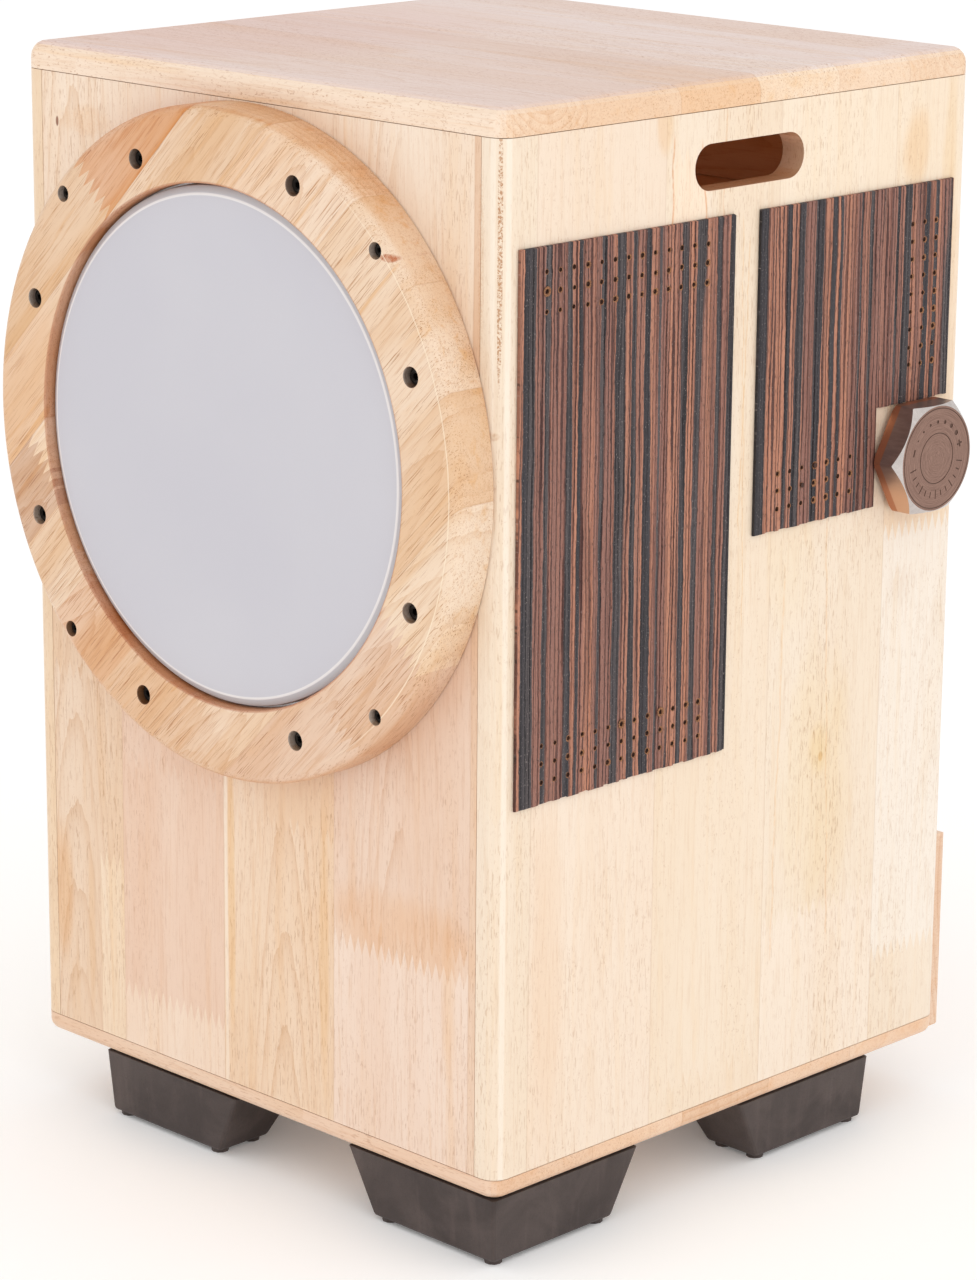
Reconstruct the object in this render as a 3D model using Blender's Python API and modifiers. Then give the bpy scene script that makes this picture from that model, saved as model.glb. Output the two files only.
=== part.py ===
"""Cajon with a drum head on the front, textured plates and a snare dial on the side.

Metres, +Z up. The drum head faces -Y, the textured side with the dial faces +X,
and the thin playing surface is at +Y. The origin is the bottom centre of the whole
object, on the surface that its feet stand on.
"""

import math

import bmesh
import bpy
from mathutils import Matrix, Vector

# Box
BOX_W = 0.300
BOX_D = 0.300
BOX_H = 0.468
WALL = 0.012
TOP_T = 0.012
BASE_T = 0.009
TAPA_T = 0.003
CORNER_R = 0.008
SEAT_EDGE_R = 0.007
BASE_EDGE_R = 0.005
FIT = 0.0003

# Handle slots
SLOT_L = 0.070
SLOT_H = 0.020
SLOT_Z = 0.4318

# Board across the lower back
REAR_BOARD_T = 0.008
REAR_BOARD_H = 0.097
REAR_BOARD_INSET = 0.005

# Frame inside the box
BATTEN = 0.0197
BACK_RAIL_H = 0.059
BOTTOM_RAIL_H = 0.040
SNARE_RAIL_D = 0.0517
GLUE_BLOCK_H = 0.110

# Drum
DRUM_Z = 0.3085
RING_R = 0.147
RING_BORE_R = 0.114
RING_T = 0.021
RING_EDGE_R = 0.005
RING_LIP_T = 0.008
HOOP_POCKET_R = 0.1186
DRUM_OPENING_R = 0.100
BEARING_R = 0.1079
HEAD_H = 0.0170
FILM_T = 0.0004
TENSION_R = 0.1293
TENSION_COUNT = 8
MOUNT_R = 0.1395
MOUNT_COUNT = 4

# Textured plates on the side
PLATE_T = 0.0014
PLATE_TOP = 0.4105
TALL_PLATE = (-0.1410, -0.0100, 0.1735)
NOTCHED_PLATE = (0.0065, 0.1375, 0.2670)
NOTCH = (0.0880, 0.3118)

# Snare dial, on an axis along X
DIAL_Y = 0.1127
DIAL_Z = 0.2880
DIAL_TURN = math.radians(70)
KNOB_FLATS = 0.0485
KNOB_T = 0.014
KNOB_FACE_R = 0.0239
KNOB_STANDOFF = 0.003
SHAFT_R = 0.004
CAM_R = 0.0139
CAM_T = 0.010
CAM_X = 0.099

# Snare board, which hangs on a rod along X
PIVOT_Y = 0.1319
PIVOT_Z = 0.3780
PIVOT_ROD_R = 0.0021
SNARE_RATIO = 0.035
SNARE_BOARD_T = 0.010
SNARE_BOARD_X = (-0.060, 0.114)
SNARE_BOARD_DROP = 0.142
WIRE_R = 0.0006
WIRE_COUNT = 8

# Feet
FOOT_H = 0.030
NUB_H = 0.002
NUB_R = 0.004
FOOT_LEG_TOP = 0.0907
FOOT_LEG_BOTTOM = 0.0763
FOOT_WIDTH_TOP = 0.043
FOOT_WIDTH_BOTTOM = 0.032
FOOT_DRAFT = 0.002
FOOT_RIGHT = 0.1483
FOOT_LEFT = -0.1065
FOOT_FRONT = -0.1483
FOOT_BACK = 0.1014

SIDE = BOX_W / 2
FRONT = -BOX_D / 2
BACK = BOX_D / 2
INNER = SIDE - WALL
SEAT_UNDER = BOX_H - TOP_T
KNOB_OUT = KNOB_STANDOFF + KNOB_T
FACING_FRONT = (math.pi / 2, 0.0, 0.0)
FACING_SIDE = (0.0, math.pi / 2, 0.0)


def start_scene():
    """Empty the scene and make one collection for the parts and one for the cutters."""
    for item in list(bpy.data.objects):
        bpy.data.objects.remove(item, do_unlink=True)
    parts = bpy.data.collections.new("cajon")
    cutters = bpy.data.collections.new("cutters")
    bpy.context.scene.collection.children.link(parts)
    bpy.context.scene.collection.children.link(cutters)
    return parts, cutters


PARTS, CUTTERS = start_scene()


def make_material(name, colour, roughness, metallic=0.0):
    """A plain Principled material."""
    made = bpy.data.materials.new(name)
    made.use_nodes = True
    shader = made.node_tree.nodes["Principled BSDF"]
    shader.inputs["Base Color"].default_value = (*colour, 1.0)
    shader.inputs["Roughness"].default_value = roughness
    shader.inputs["Metallic"].default_value = metallic
    return made


SEAT_WOOD = make_material("seat_wood", (0.74, 0.56, 0.47), 0.45)
SIDE_WOOD = make_material("side_wood", (0.86, 0.72, 0.54), 0.45)
FRAME_WOOD = make_material("frame_wood", (0.62, 0.44, 0.28), 0.6)
TAPA_WOOD = make_material("tapa_wood", (0.78, 0.58, 0.38), 0.4)
RING_WOOD = make_material("ring_wood", (0.82, 0.60, 0.38), 0.4)
PLATE_WOOD = make_material("plate_wood", (0.16, 0.08, 0.06), 0.5)
FILM = make_material("drum_film", (0.63, 0.62, 0.65), 0.5)
HOOP_METAL = make_material("hoop_metal", (0.72, 0.72, 0.73), 0.35, 1.0)
BLACK_STEEL = make_material("black_steel", (0.04, 0.035, 0.03), 0.4, 0.8)
BRIGHT_STEEL = make_material("bright_steel", (0.66, 0.66, 0.67), 0.3, 1.0)
KNOB_METAL = make_material("knob_metal", (0.42, 0.31, 0.26), 0.35, 1.0)
BUSH_BRASS = make_material("bush_brass", (0.70, 0.52, 0.25), 0.35, 1.0)
CAM_PLASTIC = make_material("cam_plastic", (0.85, 0.83, 0.78), 0.5)
FOOT_PLASTIC = make_material("foot_plastic", (0.075, 0.06, 0.055), 0.6)


def make_empty(name, location, parent=None):
    """A plain empty, to hold pieces that share one place or one axis."""
    empty = bpy.data.objects.new(name, None)
    empty.location = location
    empty.parent = parent
    PARTS.objects.link(empty)
    return empty


BOX = make_empty(
    "box_frame",
    (-KNOB_OUT / 2, (RING_T + FIT - REAR_BOARD_T - FIT) / 2, FOOT_H + NUB_H),
)
DIAL = make_empty("dial_axis", (0.0, DIAL_Y, DIAL_Z), BOX)
SNARE = make_empty("snare_axis", (0.0, PIVOT_Y, PIVOT_Z), BOX)


def place(name, mesh, material, location=(0, 0, 0), rotation=(0, 0, 0), parent=None):
    """Add a piece with its own copy of the material slot."""
    piece = bpy.data.objects.new(name, mesh)
    mesh.materials.clear()
    mesh.materials.append(material)
    piece.location = location
    piece.rotation_euler = rotation
    piece.parent = parent or BOX
    PARTS.objects.link(piece)
    return piece


def place_cutter(name, mesh, location=(0, 0, 0), rotation=(0, 0, 0)):
    """Add a cutter, which is measured from the box frame like the pieces."""
    cutter = bpy.data.objects.new(name, mesh)
    cutter.location = location
    cutter.rotation_euler = rotation
    cutter.parent = BOX
    cutter.hide_render = True
    cutter.display_type = "WIRE"
    CUTTERS.objects.link(cutter)
    return cutter


def combine(piece, other, operation):
    """Add an exact Boolean modifier to a piece."""
    boolean = piece.modifiers.new(other.name, "BOOLEAN")
    boolean.operation = operation
    boolean.solver = "EXACT"
    boolean.object = other


def shade(mesh, angle=35.0):
    """Smooth shading that keeps edges sharper than the angle."""
    mesh.shade_smooth()
    mesh.set_sharp_from_angle(angle=math.radians(angle))


def finish_mesh(name, bm):
    """Turn a bmesh into a mesh with its faces pointing out."""
    bmesh.ops.recalc_face_normals(bm, faces=bm.faces)
    mesh = bpy.data.meshes.new(name)
    bm.to_mesh(mesh)
    bm.free()
    shade(mesh)
    return mesh


def runs_along(edge, axis):
    """True for an edge that lies along the axis."""
    along = edge.verts[1].co - edge.verts[0].co
    return abs(along[axis]) > 0.999 * along.length


def middle(edge):
    """The middle of an edge."""
    return (edge.verts[0].co + edge.verts[1].co) / 2


def box_mesh(name, size, rounds=()):
    """A box about its own centre, with each set of edges in turn rounded."""
    bm = bmesh.new()
    bmesh.ops.create_cube(bm, size=1.0)
    bmesh.ops.scale(bm, vec=size, verts=bm.verts)
    for test, radius, segments in rounds:
        edges = [edge for edge in bm.edges if test(edge)]
        bmesh.ops.bevel(
            bm,
            geom=edges,
            offset=radius,
            offset_type="OFFSET",
            segments=segments,
            profile=0.5,
            affect="EDGES",
            clamp_overlap=True,
        )
    return finish_mesh(name, bm)


def box(name, low, high, material, rounds=(), parent=None):
    """A box between two corners of the box frame, or of its parent's axis."""
    low = Vector(low)
    high = Vector(high)
    if parent:
        low -= parent.location
        high -= parent.location
    mesh = box_mesh(name, high - low, rounds)
    return place(name, mesh, material, (low + high) / 2, parent=parent)


def turned_mesh(name, profile, steps, closed):
    """A profile of (radius, height) points turned about local Z and made a mesh."""
    mesh = bpy.data.meshes.new(name)
    count = len(profile)
    edges = [(i, i + 1) for i in range(count - 1)]
    if closed:
        edges.append((count - 1, 0))
    mesh.from_pydata([(radius, 0.0, height) for radius, height in profile], edges, [])
    guide = bpy.data.objects.new(name + "_profile", mesh)
    CUTTERS.objects.link(guide)
    screw = guide.modifiers.new("turn", "SCREW")
    screw.axis = "Z"
    screw.angle = 2 * math.pi
    screw.steps = steps
    screw.render_steps = steps
    screw.use_merge_vertices = True
    screw.merge_threshold = 0.00001
    turned = evaluated_mesh(guide, name)
    bpy.data.objects.remove(guide, do_unlink=True)
    shade(turned)
    return turned


def evaluated_mesh(item, name):
    """A new mesh of an object as its modifiers leave it."""
    graph = bpy.context.evaluated_depsgraph_get()
    graph.update()
    mesh = bpy.data.meshes.new_from_object(item.evaluated_get(graph))
    mesh.name = name
    return mesh


def rod_mesh(name, radius, length, segments=24):
    """A cylinder along local Z, standing on its origin."""
    bm = bmesh.new()
    bmesh.ops.create_cone(
        bm,
        cap_ends=True,
        segments=segments,
        radius1=radius,
        radius2=radius,
        depth=length,
        matrix=Matrix.Translation((0.0, 0.0, length / 2)),
    )
    return finish_mesh(name, bm)


def pins_mesh(name, centres, radius, low, high, segments):
    """Cylinders along local Z from low to high, at each (x, y) centre."""
    bm = bmesh.new()
    for x, y in centres:
        bmesh.ops.create_cone(
            bm,
            cap_ends=True,
            segments=segments,
            radius1=radius,
            radius2=radius,
            depth=high - low,
            matrix=Matrix.Translation((x, y, (low + high) / 2)),
        )
    return finish_mesh(name, bm)


def outline_mesh(name, loops, thickness):
    """Flat closed outlines, the first one outside the others, made into a plate about z = 0."""
    curve = bpy.data.curves.new(name, "CURVE")
    curve.dimensions = "2D"
    curve.fill_mode = "BOTH"
    curve.extrude = thickness / 2
    curve.render_resolution_u = 0
    for loop in loops:
        spline = curve.splines.new("POLY")
        spline.points.add(len(loop) - 1)
        for point, (x, y) in zip(spline.points, loop):
            point.co = (x, y, 0.0, 1.0)
        spline.use_cyclic_u = True
    drawn = bpy.data.objects.new(name + "_outline", curve)
    CUTTERS.objects.link(drawn)
    flat = evaluated_mesh(drawn, name)
    bpy.data.objects.remove(drawn, do_unlink=True)
    bm = bmesh.new()
    bm.from_mesh(flat)
    bmesh.ops.remove_doubles(bm, verts=bm.verts, dist=0.000001)
    return finish_mesh(name, bm)


def circle_points(radius, count, turn=0.0):
    """Points around a circle, for an outline."""
    angles = [turn + 2 * math.pi * i / count for i in range(count)]
    return [(radius * math.cos(angle), radius * math.sin(angle)) for angle in angles]


def arc(centre, radius, start, end, segments):
    """Points of an arc in a turned profile, angles in degrees."""
    points = []
    for i in range(segments + 1):
        angle = math.radians(start + (end - start) * i / segments)
        points.append(
            (centre[0] + radius * math.cos(angle), centre[1] + radius * math.sin(angle))
        )
    return points


def tension_centres():
    """Tension screw centres about the drum's own centre."""
    step = 2 * math.pi / TENSION_COUNT
    return circle_points(TENSION_R, TENSION_COUNT, step / 2)


def mount_centres():
    """Centres of the screws that hold the ring on the diagonals."""
    return circle_points(MOUNT_R, MOUNT_COUNT, math.pi / 4)


def make_seat():
    """Top panel: rounded corners, then a rounded upper edge all round."""
    top = TOP_T / 2

    def upper(edge):
        return all(vert.co.z > top - 0.0001 for vert in edge.verts)

    rounds = (
        (lambda edge: runs_along(edge, 2), CORNER_R, 5),
        (upper, SEAT_EDGE_R, 5),
    )
    box("top_panel", (-SIDE, FRONT, SEAT_UNDER), (SIDE, BACK, BOX_H), SEAT_WOOD, rounds)


def make_base():
    """Bottom panel with a rounded lower edge and pilot holes for the foot screws."""
    low = -BASE_T / 2

    def lower(edge):
        return all(vert.co.z < low + 0.0001 for vert in edge.verts)

    rounds = (
        (lambda edge: runs_along(edge, 2), CORNER_R, 5),
        (lower, BASE_EDGE_R, 4),
    )
    base = box("bottom_panel", (-SIDE, FRONT, 0), (SIDE, BACK, BASE_T), SIDE_WOOD, rounds)
    holes = pins_mesh("base_holes", foot_screw_centres(), 0.0025, -0.001, 0.007, 8)
    combine(base, place_cutter("base_holes", holes), "DIFFERENCE")


def make_side(name, sign):
    """A side panel with its outer corners rounded and a handle slot through it."""
    low_x = min(sign * INNER, sign * SIDE)
    low = (low_x, FRONT, BASE_T + FIT)
    high = (low_x + WALL, BACK, SEAT_UNDER - FIT)
    rounds = (
        (lambda edge: runs_along(edge, 2) and middle(edge).x * sign > 0, CORNER_R, 5),
    )
    side = box(name, low, high, SIDE_WOOD, rounds)
    slot = box_mesh(
        name + "_slot",
        (3 * WALL, SLOT_L, SLOT_H),
        ((lambda edge: runs_along(edge, 0), 0.98 * SLOT_H / 2, 8),),
    )
    combine(side, place_cutter(name + "_slot", slot, (sign * SIDE, 0.0, SLOT_Z)), "DIFFERENCE")
    return side


def make_sides():
    """Left and right panels; the right one also takes the dial's bush."""
    make_side("left_panel", -1)
    right = make_side("right_panel", 1)
    hole = rod_mesh("bush_hole", 0.0083, 3 * WALL, 32)
    place_at = (INNER - WALL, DIAL_Y, DIAL_Z)
    combine(right, place_cutter("bush_hole", hole, place_at, FACING_SIDE), "DIFFERENCE")


def make_drum_panel():
    """Front panel between the sides, open behind the drum head and drilled for the ring."""
    panel = box(
        "drum_panel",
        (-INNER + FIT, FRONT, BASE_T + FIT),
        (INNER - FIT, FRONT + WALL, SEAT_UNDER - FIT),
        SIDE_WOOD,
    )
    centre = (0.0, FRONT, DRUM_Z)
    opening = pins_mesh("drum_opening", [(0.0, 0.0)], DRUM_OPENING_R, -0.02, 0.01, 56)
    nut_holes = pins_mesh("nut_holes", tension_centres(), 0.0038, -0.02, 0.01, 10)
    pilot_holes = pins_mesh("pilot_holes", mount_centres(), 0.0019, -0.0095, 0.01, 8)
    for mesh in (opening, nut_holes, pilot_holes):
        cutter = place_cutter(mesh.name, mesh, centre, FACING_FRONT)
        combine(panel, cutter, "DIFFERENCE")


def make_back():
    """The thin playing surface and the board across its lower part."""
    box(
        "tapa",
        (-INNER + FIT, BACK - TAPA_T, BASE_T + FIT),
        (INNER - FIT, BACK, SEAT_UNDER - FIT),
        TAPA_WOOD,
    )
    edge_x = SIDE - REAR_BOARD_INSET
    outer = REAR_BOARD_T / 2
    box(
        "rear_board",
        (-edge_x, BACK + FIT, 0.001),
        (edge_x, BACK + FIT + REAR_BOARD_T, REAR_BOARD_H),
        SIDE_WOOD,
        ((lambda edge: middle(edge).y > outer - 0.0001, 0.003, 3),),
    )


def make_frame():
    """Battens and rails behind the playing surface, and two glue blocks at the front."""
    front = BACK - TAPA_T - FIT - BATTEN
    back = BACK - TAPA_T - FIT
    floor = BASE_T + FIT
    ceiling = SEAT_UNDER - FIT
    batten_x = INNER - FIT - BATTEN
    rail_x = batten_x - FIT
    for name, sign in (("batten_left", -1), ("batten_right", 1)):
        low_x = min(sign * batten_x, sign * (INNER - FIT))
        batten = box(
            name, (low_x, front, floor), (low_x + BATTEN, back, ceiling), FRAME_WOOD
        )
        hole = rod_mesh(name + "_hole", PIVOT_ROD_R + FIT, 0.020, 16)
        start = (sign * batten_x - 0.010, PIVOT_Y, PIVOT_Z)
        cutter = place_cutter(name + "_hole", hole, start, FACING_SIDE)
        combine(batten, cutter, "DIFFERENCE")
    rail_low = ceiling - BACK_RAIL_H
    box("rail_top", (-rail_x, front, rail_low), (rail_x, back, ceiling), FRAME_WOOD)
    box(
        "snare_rail",
        (-rail_x, back - SNARE_RAIL_D, rail_low - FIT - 0.0117),
        (rail_x, back, rail_low - FIT),
        FRAME_WOOD,
    )
    box("rail_bottom", (-rail_x, front, floor), (rail_x, back, floor + BOTTOM_RAIL_H), FRAME_WOOD)
    block_y = FRONT + WALL + FIT
    for name, sign in (("glue_block_left", -1), ("glue_block_right", 1)):
        low_x = min(sign * batten_x, sign * (INNER - FIT))
        low = (low_x, block_y, floor)
        high = (low_x + BATTEN, block_y + BATTEN, floor + GLUE_BLOCK_H)
        box(name, low, high, FRAME_WOOD)


def make_clamp_ring():
    """Wooden ring with a rounded outer edge, a lip over the hoop and counterbored holes."""
    front = FIT + RING_T
    lip = front - RING_LIP_T
    edge_centre = (RING_R - RING_EDGE_R, front - RING_EDGE_R)
    profile = arc(edge_centre, RING_EDGE_R, 90, 0, 4)
    profile += [
        (RING_R, FIT),
        (HOOP_POCKET_R, FIT),
        (HOOP_POCKET_R, lip),
        (RING_BORE_R, lip),
        (RING_BORE_R, front - 0.0006),
        (RING_BORE_R + 0.0006, front),
    ]
    mesh = turned_mesh("clamp_ring", profile, 72, closed=True)
    centre = (0.0, FRONT, DRUM_Z)
    ring = place("clamp_ring", mesh, RING_WOOD, centre, FACING_FRONT)
    cuts = (
        ("tension_bores", tension_centres(), 0.0042, front - 0.007, front + 0.01, 14),
        ("tension_holes", tension_centres(), 0.0025, -0.01, front - 0.005, 10),
        ("mount_bores", mount_centres(), 0.0034, front - 0.005, front + 0.01, 12),
        ("mount_holes", mount_centres(), 0.0020, -0.01, front - 0.003, 8),
    )
    for name, centres, radius, low, high, segments in cuts:
        mesh = pins_mesh(name, centres, radius, low, high, segments)
        combine(ring, place_cutter(name, mesh, centre, FACING_FRONT), "DIFFERENCE")


def make_drum_head():
    """Bearing ring, the film drawn over it, and the metal hoop at the film's edge."""
    centre = (0.0, FRONT, DRUM_Z)
    top = HEAD_H - FILM_T - FIT
    bearing = arc((BEARING_R - 0.003, top - 0.003), 0.003, 90, 0, 3)
    bearing += [(BEARING_R, FIT), (DRUM_OPENING_R, FIT), (DRUM_OPENING_R, top - 0.004)]
    mesh = turned_mesh("bearing_ring", bearing, 56, closed=True)
    place("bearing_ring", mesh, FRAME_WOOD, centre, FACING_FRONT)

    outside = [(0.0, HEAD_H), (0.1066, HEAD_H), (0.1080, HEAD_H - 0.0003)]
    outside += [(0.1089, HEAD_H - 0.0009), (0.1124, HEAD_H - 0.0020)]
    outside += [(0.1131, HEAD_H - 0.0030), (0.1131, 0.0070)]
    inside = [(0.1127, 0.0070), (0.1127, HEAD_H - 0.0029), (0.1122, HEAD_H - 0.0023)]
    inside += [(0.1087, HEAD_H - 0.0013), (0.1079, HEAD_H - 0.0007)]
    inside += [(0.1065, HEAD_H - FILM_T), (0.0, HEAD_H - FILM_T)]
    mesh = turned_mesh("drum_head", outside + inside, 64, closed=False)
    place("drum_head", mesh, FILM, centre, FACING_FRONT)

    hoop_top = FIT + RING_T - RING_LIP_T - FIT
    hoop = [(0.1180, hoop_top), (0.1180, 0.0066), (0.1134, 0.0066), (0.1134, hoop_top)]
    mesh = turned_mesh("flesh_hoop", hoop, 64, closed=True)
    place("flesh_hoop", mesh, HOOP_METAL, centre, FACING_FRONT)


def cap_screw_mesh(name, head_r, head_h, shank_r, shank_l, key):
    """A screw with a hexagon socket, its head's underside at z = 0 and its tip below."""
    edge = head_r - 0.0004
    profile = [(0.0, head_h), (edge, head_h), (head_r, head_h - 0.0004), (head_r, 0.0)]
    profile += [(shank_r, 0.0), (shank_r, -shank_l + 0.0005)]
    profile += [(shank_r - 0.0005, -shank_l), (0.0, -shank_l)]
    blank = bpy.data.objects.new(name, turned_mesh(name, profile, 12, closed=False))
    CUTTERS.objects.link(blank)
    socket_mesh = rod_mesh(name + "_socket", key / math.sqrt(3), head_h, 6)
    socket = bpy.data.objects.new(name + "_socket", socket_mesh)
    socket.location = (0.0, 0.0, 0.45 * head_h)
    CUTTERS.objects.link(socket)
    combine(blank, socket, "DIFFERENCE")
    mesh = evaluated_mesh(blank, name)
    bpy.data.objects.remove(blank, do_unlink=True)
    bpy.data.objects.remove(socket, do_unlink=True)
    shade(mesh)
    return mesh


def make_ring_screws():
    """Tension screws with their tee nuts, and the diagonal screws of the ring."""
    front = FIT + RING_T
    head = front - 0.007 + FIT
    screw = cap_screw_mesh("tension_screw", 0.0035, 0.0040, 0.0020, head + 0.017, 0.0030)
    nut_top = -WALL - FIT
    nut = [(0.0033, nut_top + 0.008), (0.0033, nut_top), (0.0070, nut_top)]
    nut += [(0.0070, nut_top - 0.0015), (0.0024, nut_top - 0.0015), (0.0024, nut_top + 0.008)]
    nut_mesh = turned_mesh("tee_nut", nut, 12, closed=True)
    for number, (x, z) in enumerate(tension_centres(), start=1):
        at = (x, FRONT, DRUM_Z + z)
        under_head = (x, FRONT - head, DRUM_Z + z)
        place(f"tension_screw_{number}", screw, BLACK_STEEL, under_head, FACING_FRONT)
        place(f"tee_nut_{number}", nut_mesh, BRIGHT_STEEL, at, FACING_FRONT)
    head = front - 0.005 + FIT
    screw = cap_screw_mesh("mount_screw", 0.0028, 0.0024, 0.0015, head + 0.009, 0.0020)
    for number, (x, z) in enumerate(mount_centres(), start=1):
        under_head = (x, FRONT - head, DRUM_Z + z)
        place(f"mount_screw_{number}", screw, BLACK_STEEL, under_head, FACING_FRONT)


def make_plates():
    """Two thin textured plates on the side; the second one is notched around the dial."""
    low_y, high_y, low_z = TALL_PLATE
    x = SIDE + FIT
    box("plate_tall", (x, low_y, low_z), (x + PLATE_T, high_y, PLATE_TOP), PLATE_WOOD)
    low_y, high_y, low_z = NOTCHED_PLATE
    notch_y, notch_z = NOTCH
    corners = [(low_y, low_z), (notch_y, low_z), (notch_y, notch_z)]
    corners += [(high_y, notch_z), (high_y, PLATE_TOP), (low_y, PLATE_TOP)]
    mesh = outline_mesh("plate_notched", [corners], PLATE_T)
    upright = (math.pi / 2, 0.0, math.pi / 2)
    place("plate_notched", mesh, PLATE_WOOD, (x + PLATE_T / 2, 0.0, 0.0), upright)


def hexagon_mesh(name, flats, thickness):
    """A hexagon along local Z, standing on its origin, with corners on local Y."""
    mesh = outline_mesh(name, [circle_points(flats / math.sqrt(3), 6, math.pi / 2)], thickness)
    mesh.transform(Matrix.Translation((0.0, 0.0, thickness / 2)))
    return mesh


def make_knob():
    """Hexagonal knob with a turned bevel in front and a blind bore behind."""
    x = SIDE + KNOB_STANDOFF
    mesh = hexagon_mesh("dial_knob", KNOB_FLATS, KNOB_T)
    knob = place("dial_knob", mesh, KNOB_METAL, (x, 0.0, 0.0), FACING_SIDE, DIAL)
    reach = 0.030
    bevel = (reach - KNOB_FACE_R) * math.tan(math.radians(40))
    profile = [(0.0, KNOB_T), (KNOB_FACE_R, KNOB_T), (reach, KNOB_T - bevel)]
    profile += [(reach, 0.002), (reach - 0.0034, 0.0), (0.0, 0.0)]
    blank = turned_mesh("knob_bevel", profile, 42, closed=False)
    at = (x, DIAL_Y, DIAL_Z)
    combine(knob, place_cutter("knob_bevel", blank, at, FACING_SIDE), "INTERSECT")
    bore = rod_mesh("knob_bore", SHAFT_R + FIT, 0.012, 20)
    below = (x - 0.002, DIAL_Y, DIAL_Z)
    combine(knob, place_cutter("knob_bore", bore, below, FACING_SIDE), "DIFFERENCE")


def cam_point(angle):
    """A point of the cam that lifts a flat follower in proportion to the turn."""
    arm = PIVOT_Z - DIAL_Z
    rise = SNARE_RATIO * arm / (1 + SNARE_RATIO)
    reach = math.radians(85)
    if angle <= reach:
        lift = rise * angle
        slope = rise
    else:
        span = 2 * math.pi - 2 * reach
        t = (angle - reach) / span
        start = rise * reach
        lift = start * (1 - 6 * t * t + 4 * t ** 3) + rise * span * (t - 3 * t * t + 2 * t ** 3)
        slope = start * (12 * t * t - 12 * t) / span + rise * (1 - 6 * t + 6 * t * t)
    support = CAM_R + lift
    y = support * math.cos(angle) - slope * math.sin(angle)
    z = support * math.sin(angle) + slope * math.cos(angle)
    return y, z


def make_cam():
    """Snail cam on the shaft, level at rest, that pushes the snare board to +Y."""
    reach = math.radians(85)
    count = 60
    angles = [-reach + 2 * math.pi * i / count for i in range(count)]
    outer = [cam_point(angle) for angle in angles]
    bore = circle_points(SHAFT_R + FIT, 20)
    mesh = outline_mesh("snare_cam", [outer, bore], CAM_T)
    upright = (math.pi / 2, 0.0, math.pi / 2)
    place("snare_cam", mesh, CAM_PLASTIC, (CAM_X + CAM_T / 2, 0.0, 0.0), upright, DIAL)


def make_dial():
    """Knob, shaft, collar and cam turn together in a bush held by a nut."""
    make_knob()
    make_cam()
    start = CAM_X - 0.001
    length = SIDE + KNOB_STANDOFF + 0.009 - start
    shaft = rod_mesh("dial_shaft", SHAFT_R, length, 20)
    place("dial_shaft", shaft, BRIGHT_STEEL, (start, 0.0, 0.0), FACING_SIDE, DIAL)
    bore = SHAFT_R + FIT
    collar = turned_mesh(
        "dial_collar", [(0.007, 0.006), (0.007, 0.0), (bore, 0.0), (bore, 0.006)], 24, True
    )
    place("dial_collar", collar, BRIGHT_STEEL, (0.125, 0.0, 0.0), FACING_SIDE, DIAL)
    flange = SIDE + FIT
    profile = [(0.012, flange + 0.0012), (0.012, flange), (0.008, flange), (0.008, 0.132)]
    profile += [(bore, 0.132), (bore, flange + 0.0012)]
    bush = turned_mesh("dial_bush", profile, 24, closed=True)
    place("dial_bush", bush, BUSH_BRASS, (0.0, DIAL_Y, DIAL_Z), FACING_SIDE)
    hexagon = circle_points(0.0125, 6, math.pi / 2)
    nut = outline_mesh("bush_nut", [hexagon, circle_points(0.0083, 24)], 0.004)
    at = (INNER - FIT - 0.002, DIAL_Y, DIAL_Z)
    place("bush_nut", nut, BRIGHT_STEEL, at, FACING_SIDE)


def make_snare_board():
    """Board that hangs on the rod, with the rod's bore along its top."""
    low_x, high_x = SNARE_BOARD_X
    half = SNARE_BOARD_T / 2
    board = box(
        "snare_board",
        (low_x, PIVOT_Y - half, PIVOT_Z - SNARE_BOARD_DROP),
        (high_x, PIVOT_Y + half, PIVOT_Z + 0.005),
        FRAME_WOOD,
        ((lambda edge: runs_along(edge, 1), 0.006, 3),),
        SNARE,
    )
    bore = rod_mesh("rod_bore", PIVOT_ROD_R + 0.0004, high_x - low_x + 0.02, 16)
    start = (low_x - 0.01, PIVOT_Y, PIVOT_Z)
    combine(board, place_cutter("rod_bore", bore, start, FACING_SIDE), "DIFFERENCE")
    rod = rod_mesh("pivot_rod", PIVOT_ROD_R, 0.250, 16)
    place("pivot_rod", rod, BRIGHT_STEEL, (-0.125, PIVOT_Y, PIVOT_Z), FACING_SIDE)


def make_snare_fan(name, low_x):
    """Snare wires side by side between two strips, on the board's face to the tapa."""
    width = 0.070
    strip_t = 0.0030
    strip_h = 0.008
    face = SNARE_BOARD_T / 2 + FIT
    strips = bmesh.new()
    levels = (-SNARE_BOARD_DROP + 0.012, -0.052)
    for level in levels:
        at = Matrix.Translation((width / 2, face + strip_t / 2, level))
        size = Matrix.Diagonal((width, strip_t, strip_h, 1.0))
        bmesh.ops.create_cube(strips, size=1.0, matrix=at @ size)
    mesh = finish_mesh(name, strips)
    fan = place(name, mesh, BRIGHT_STEEL, (low_x, 0.0, 0.0), parent=SNARE)
    pitch = (width - 0.010) / (WIRE_COUNT - 1)
    wire_y = face + strip_t - 0.0003
    centres = [(0.005 + pitch * i, wire_y) for i in range(WIRE_COUNT)]
    wires = pins_mesh(name + "_wires", centres, WIRE_R, levels[0], levels[1], 6)
    cutter = place_cutter(name + "_wires", wires, (low_x, PIVOT_Y, PIVOT_Z))
    combine(fan, cutter, "UNION")


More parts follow.
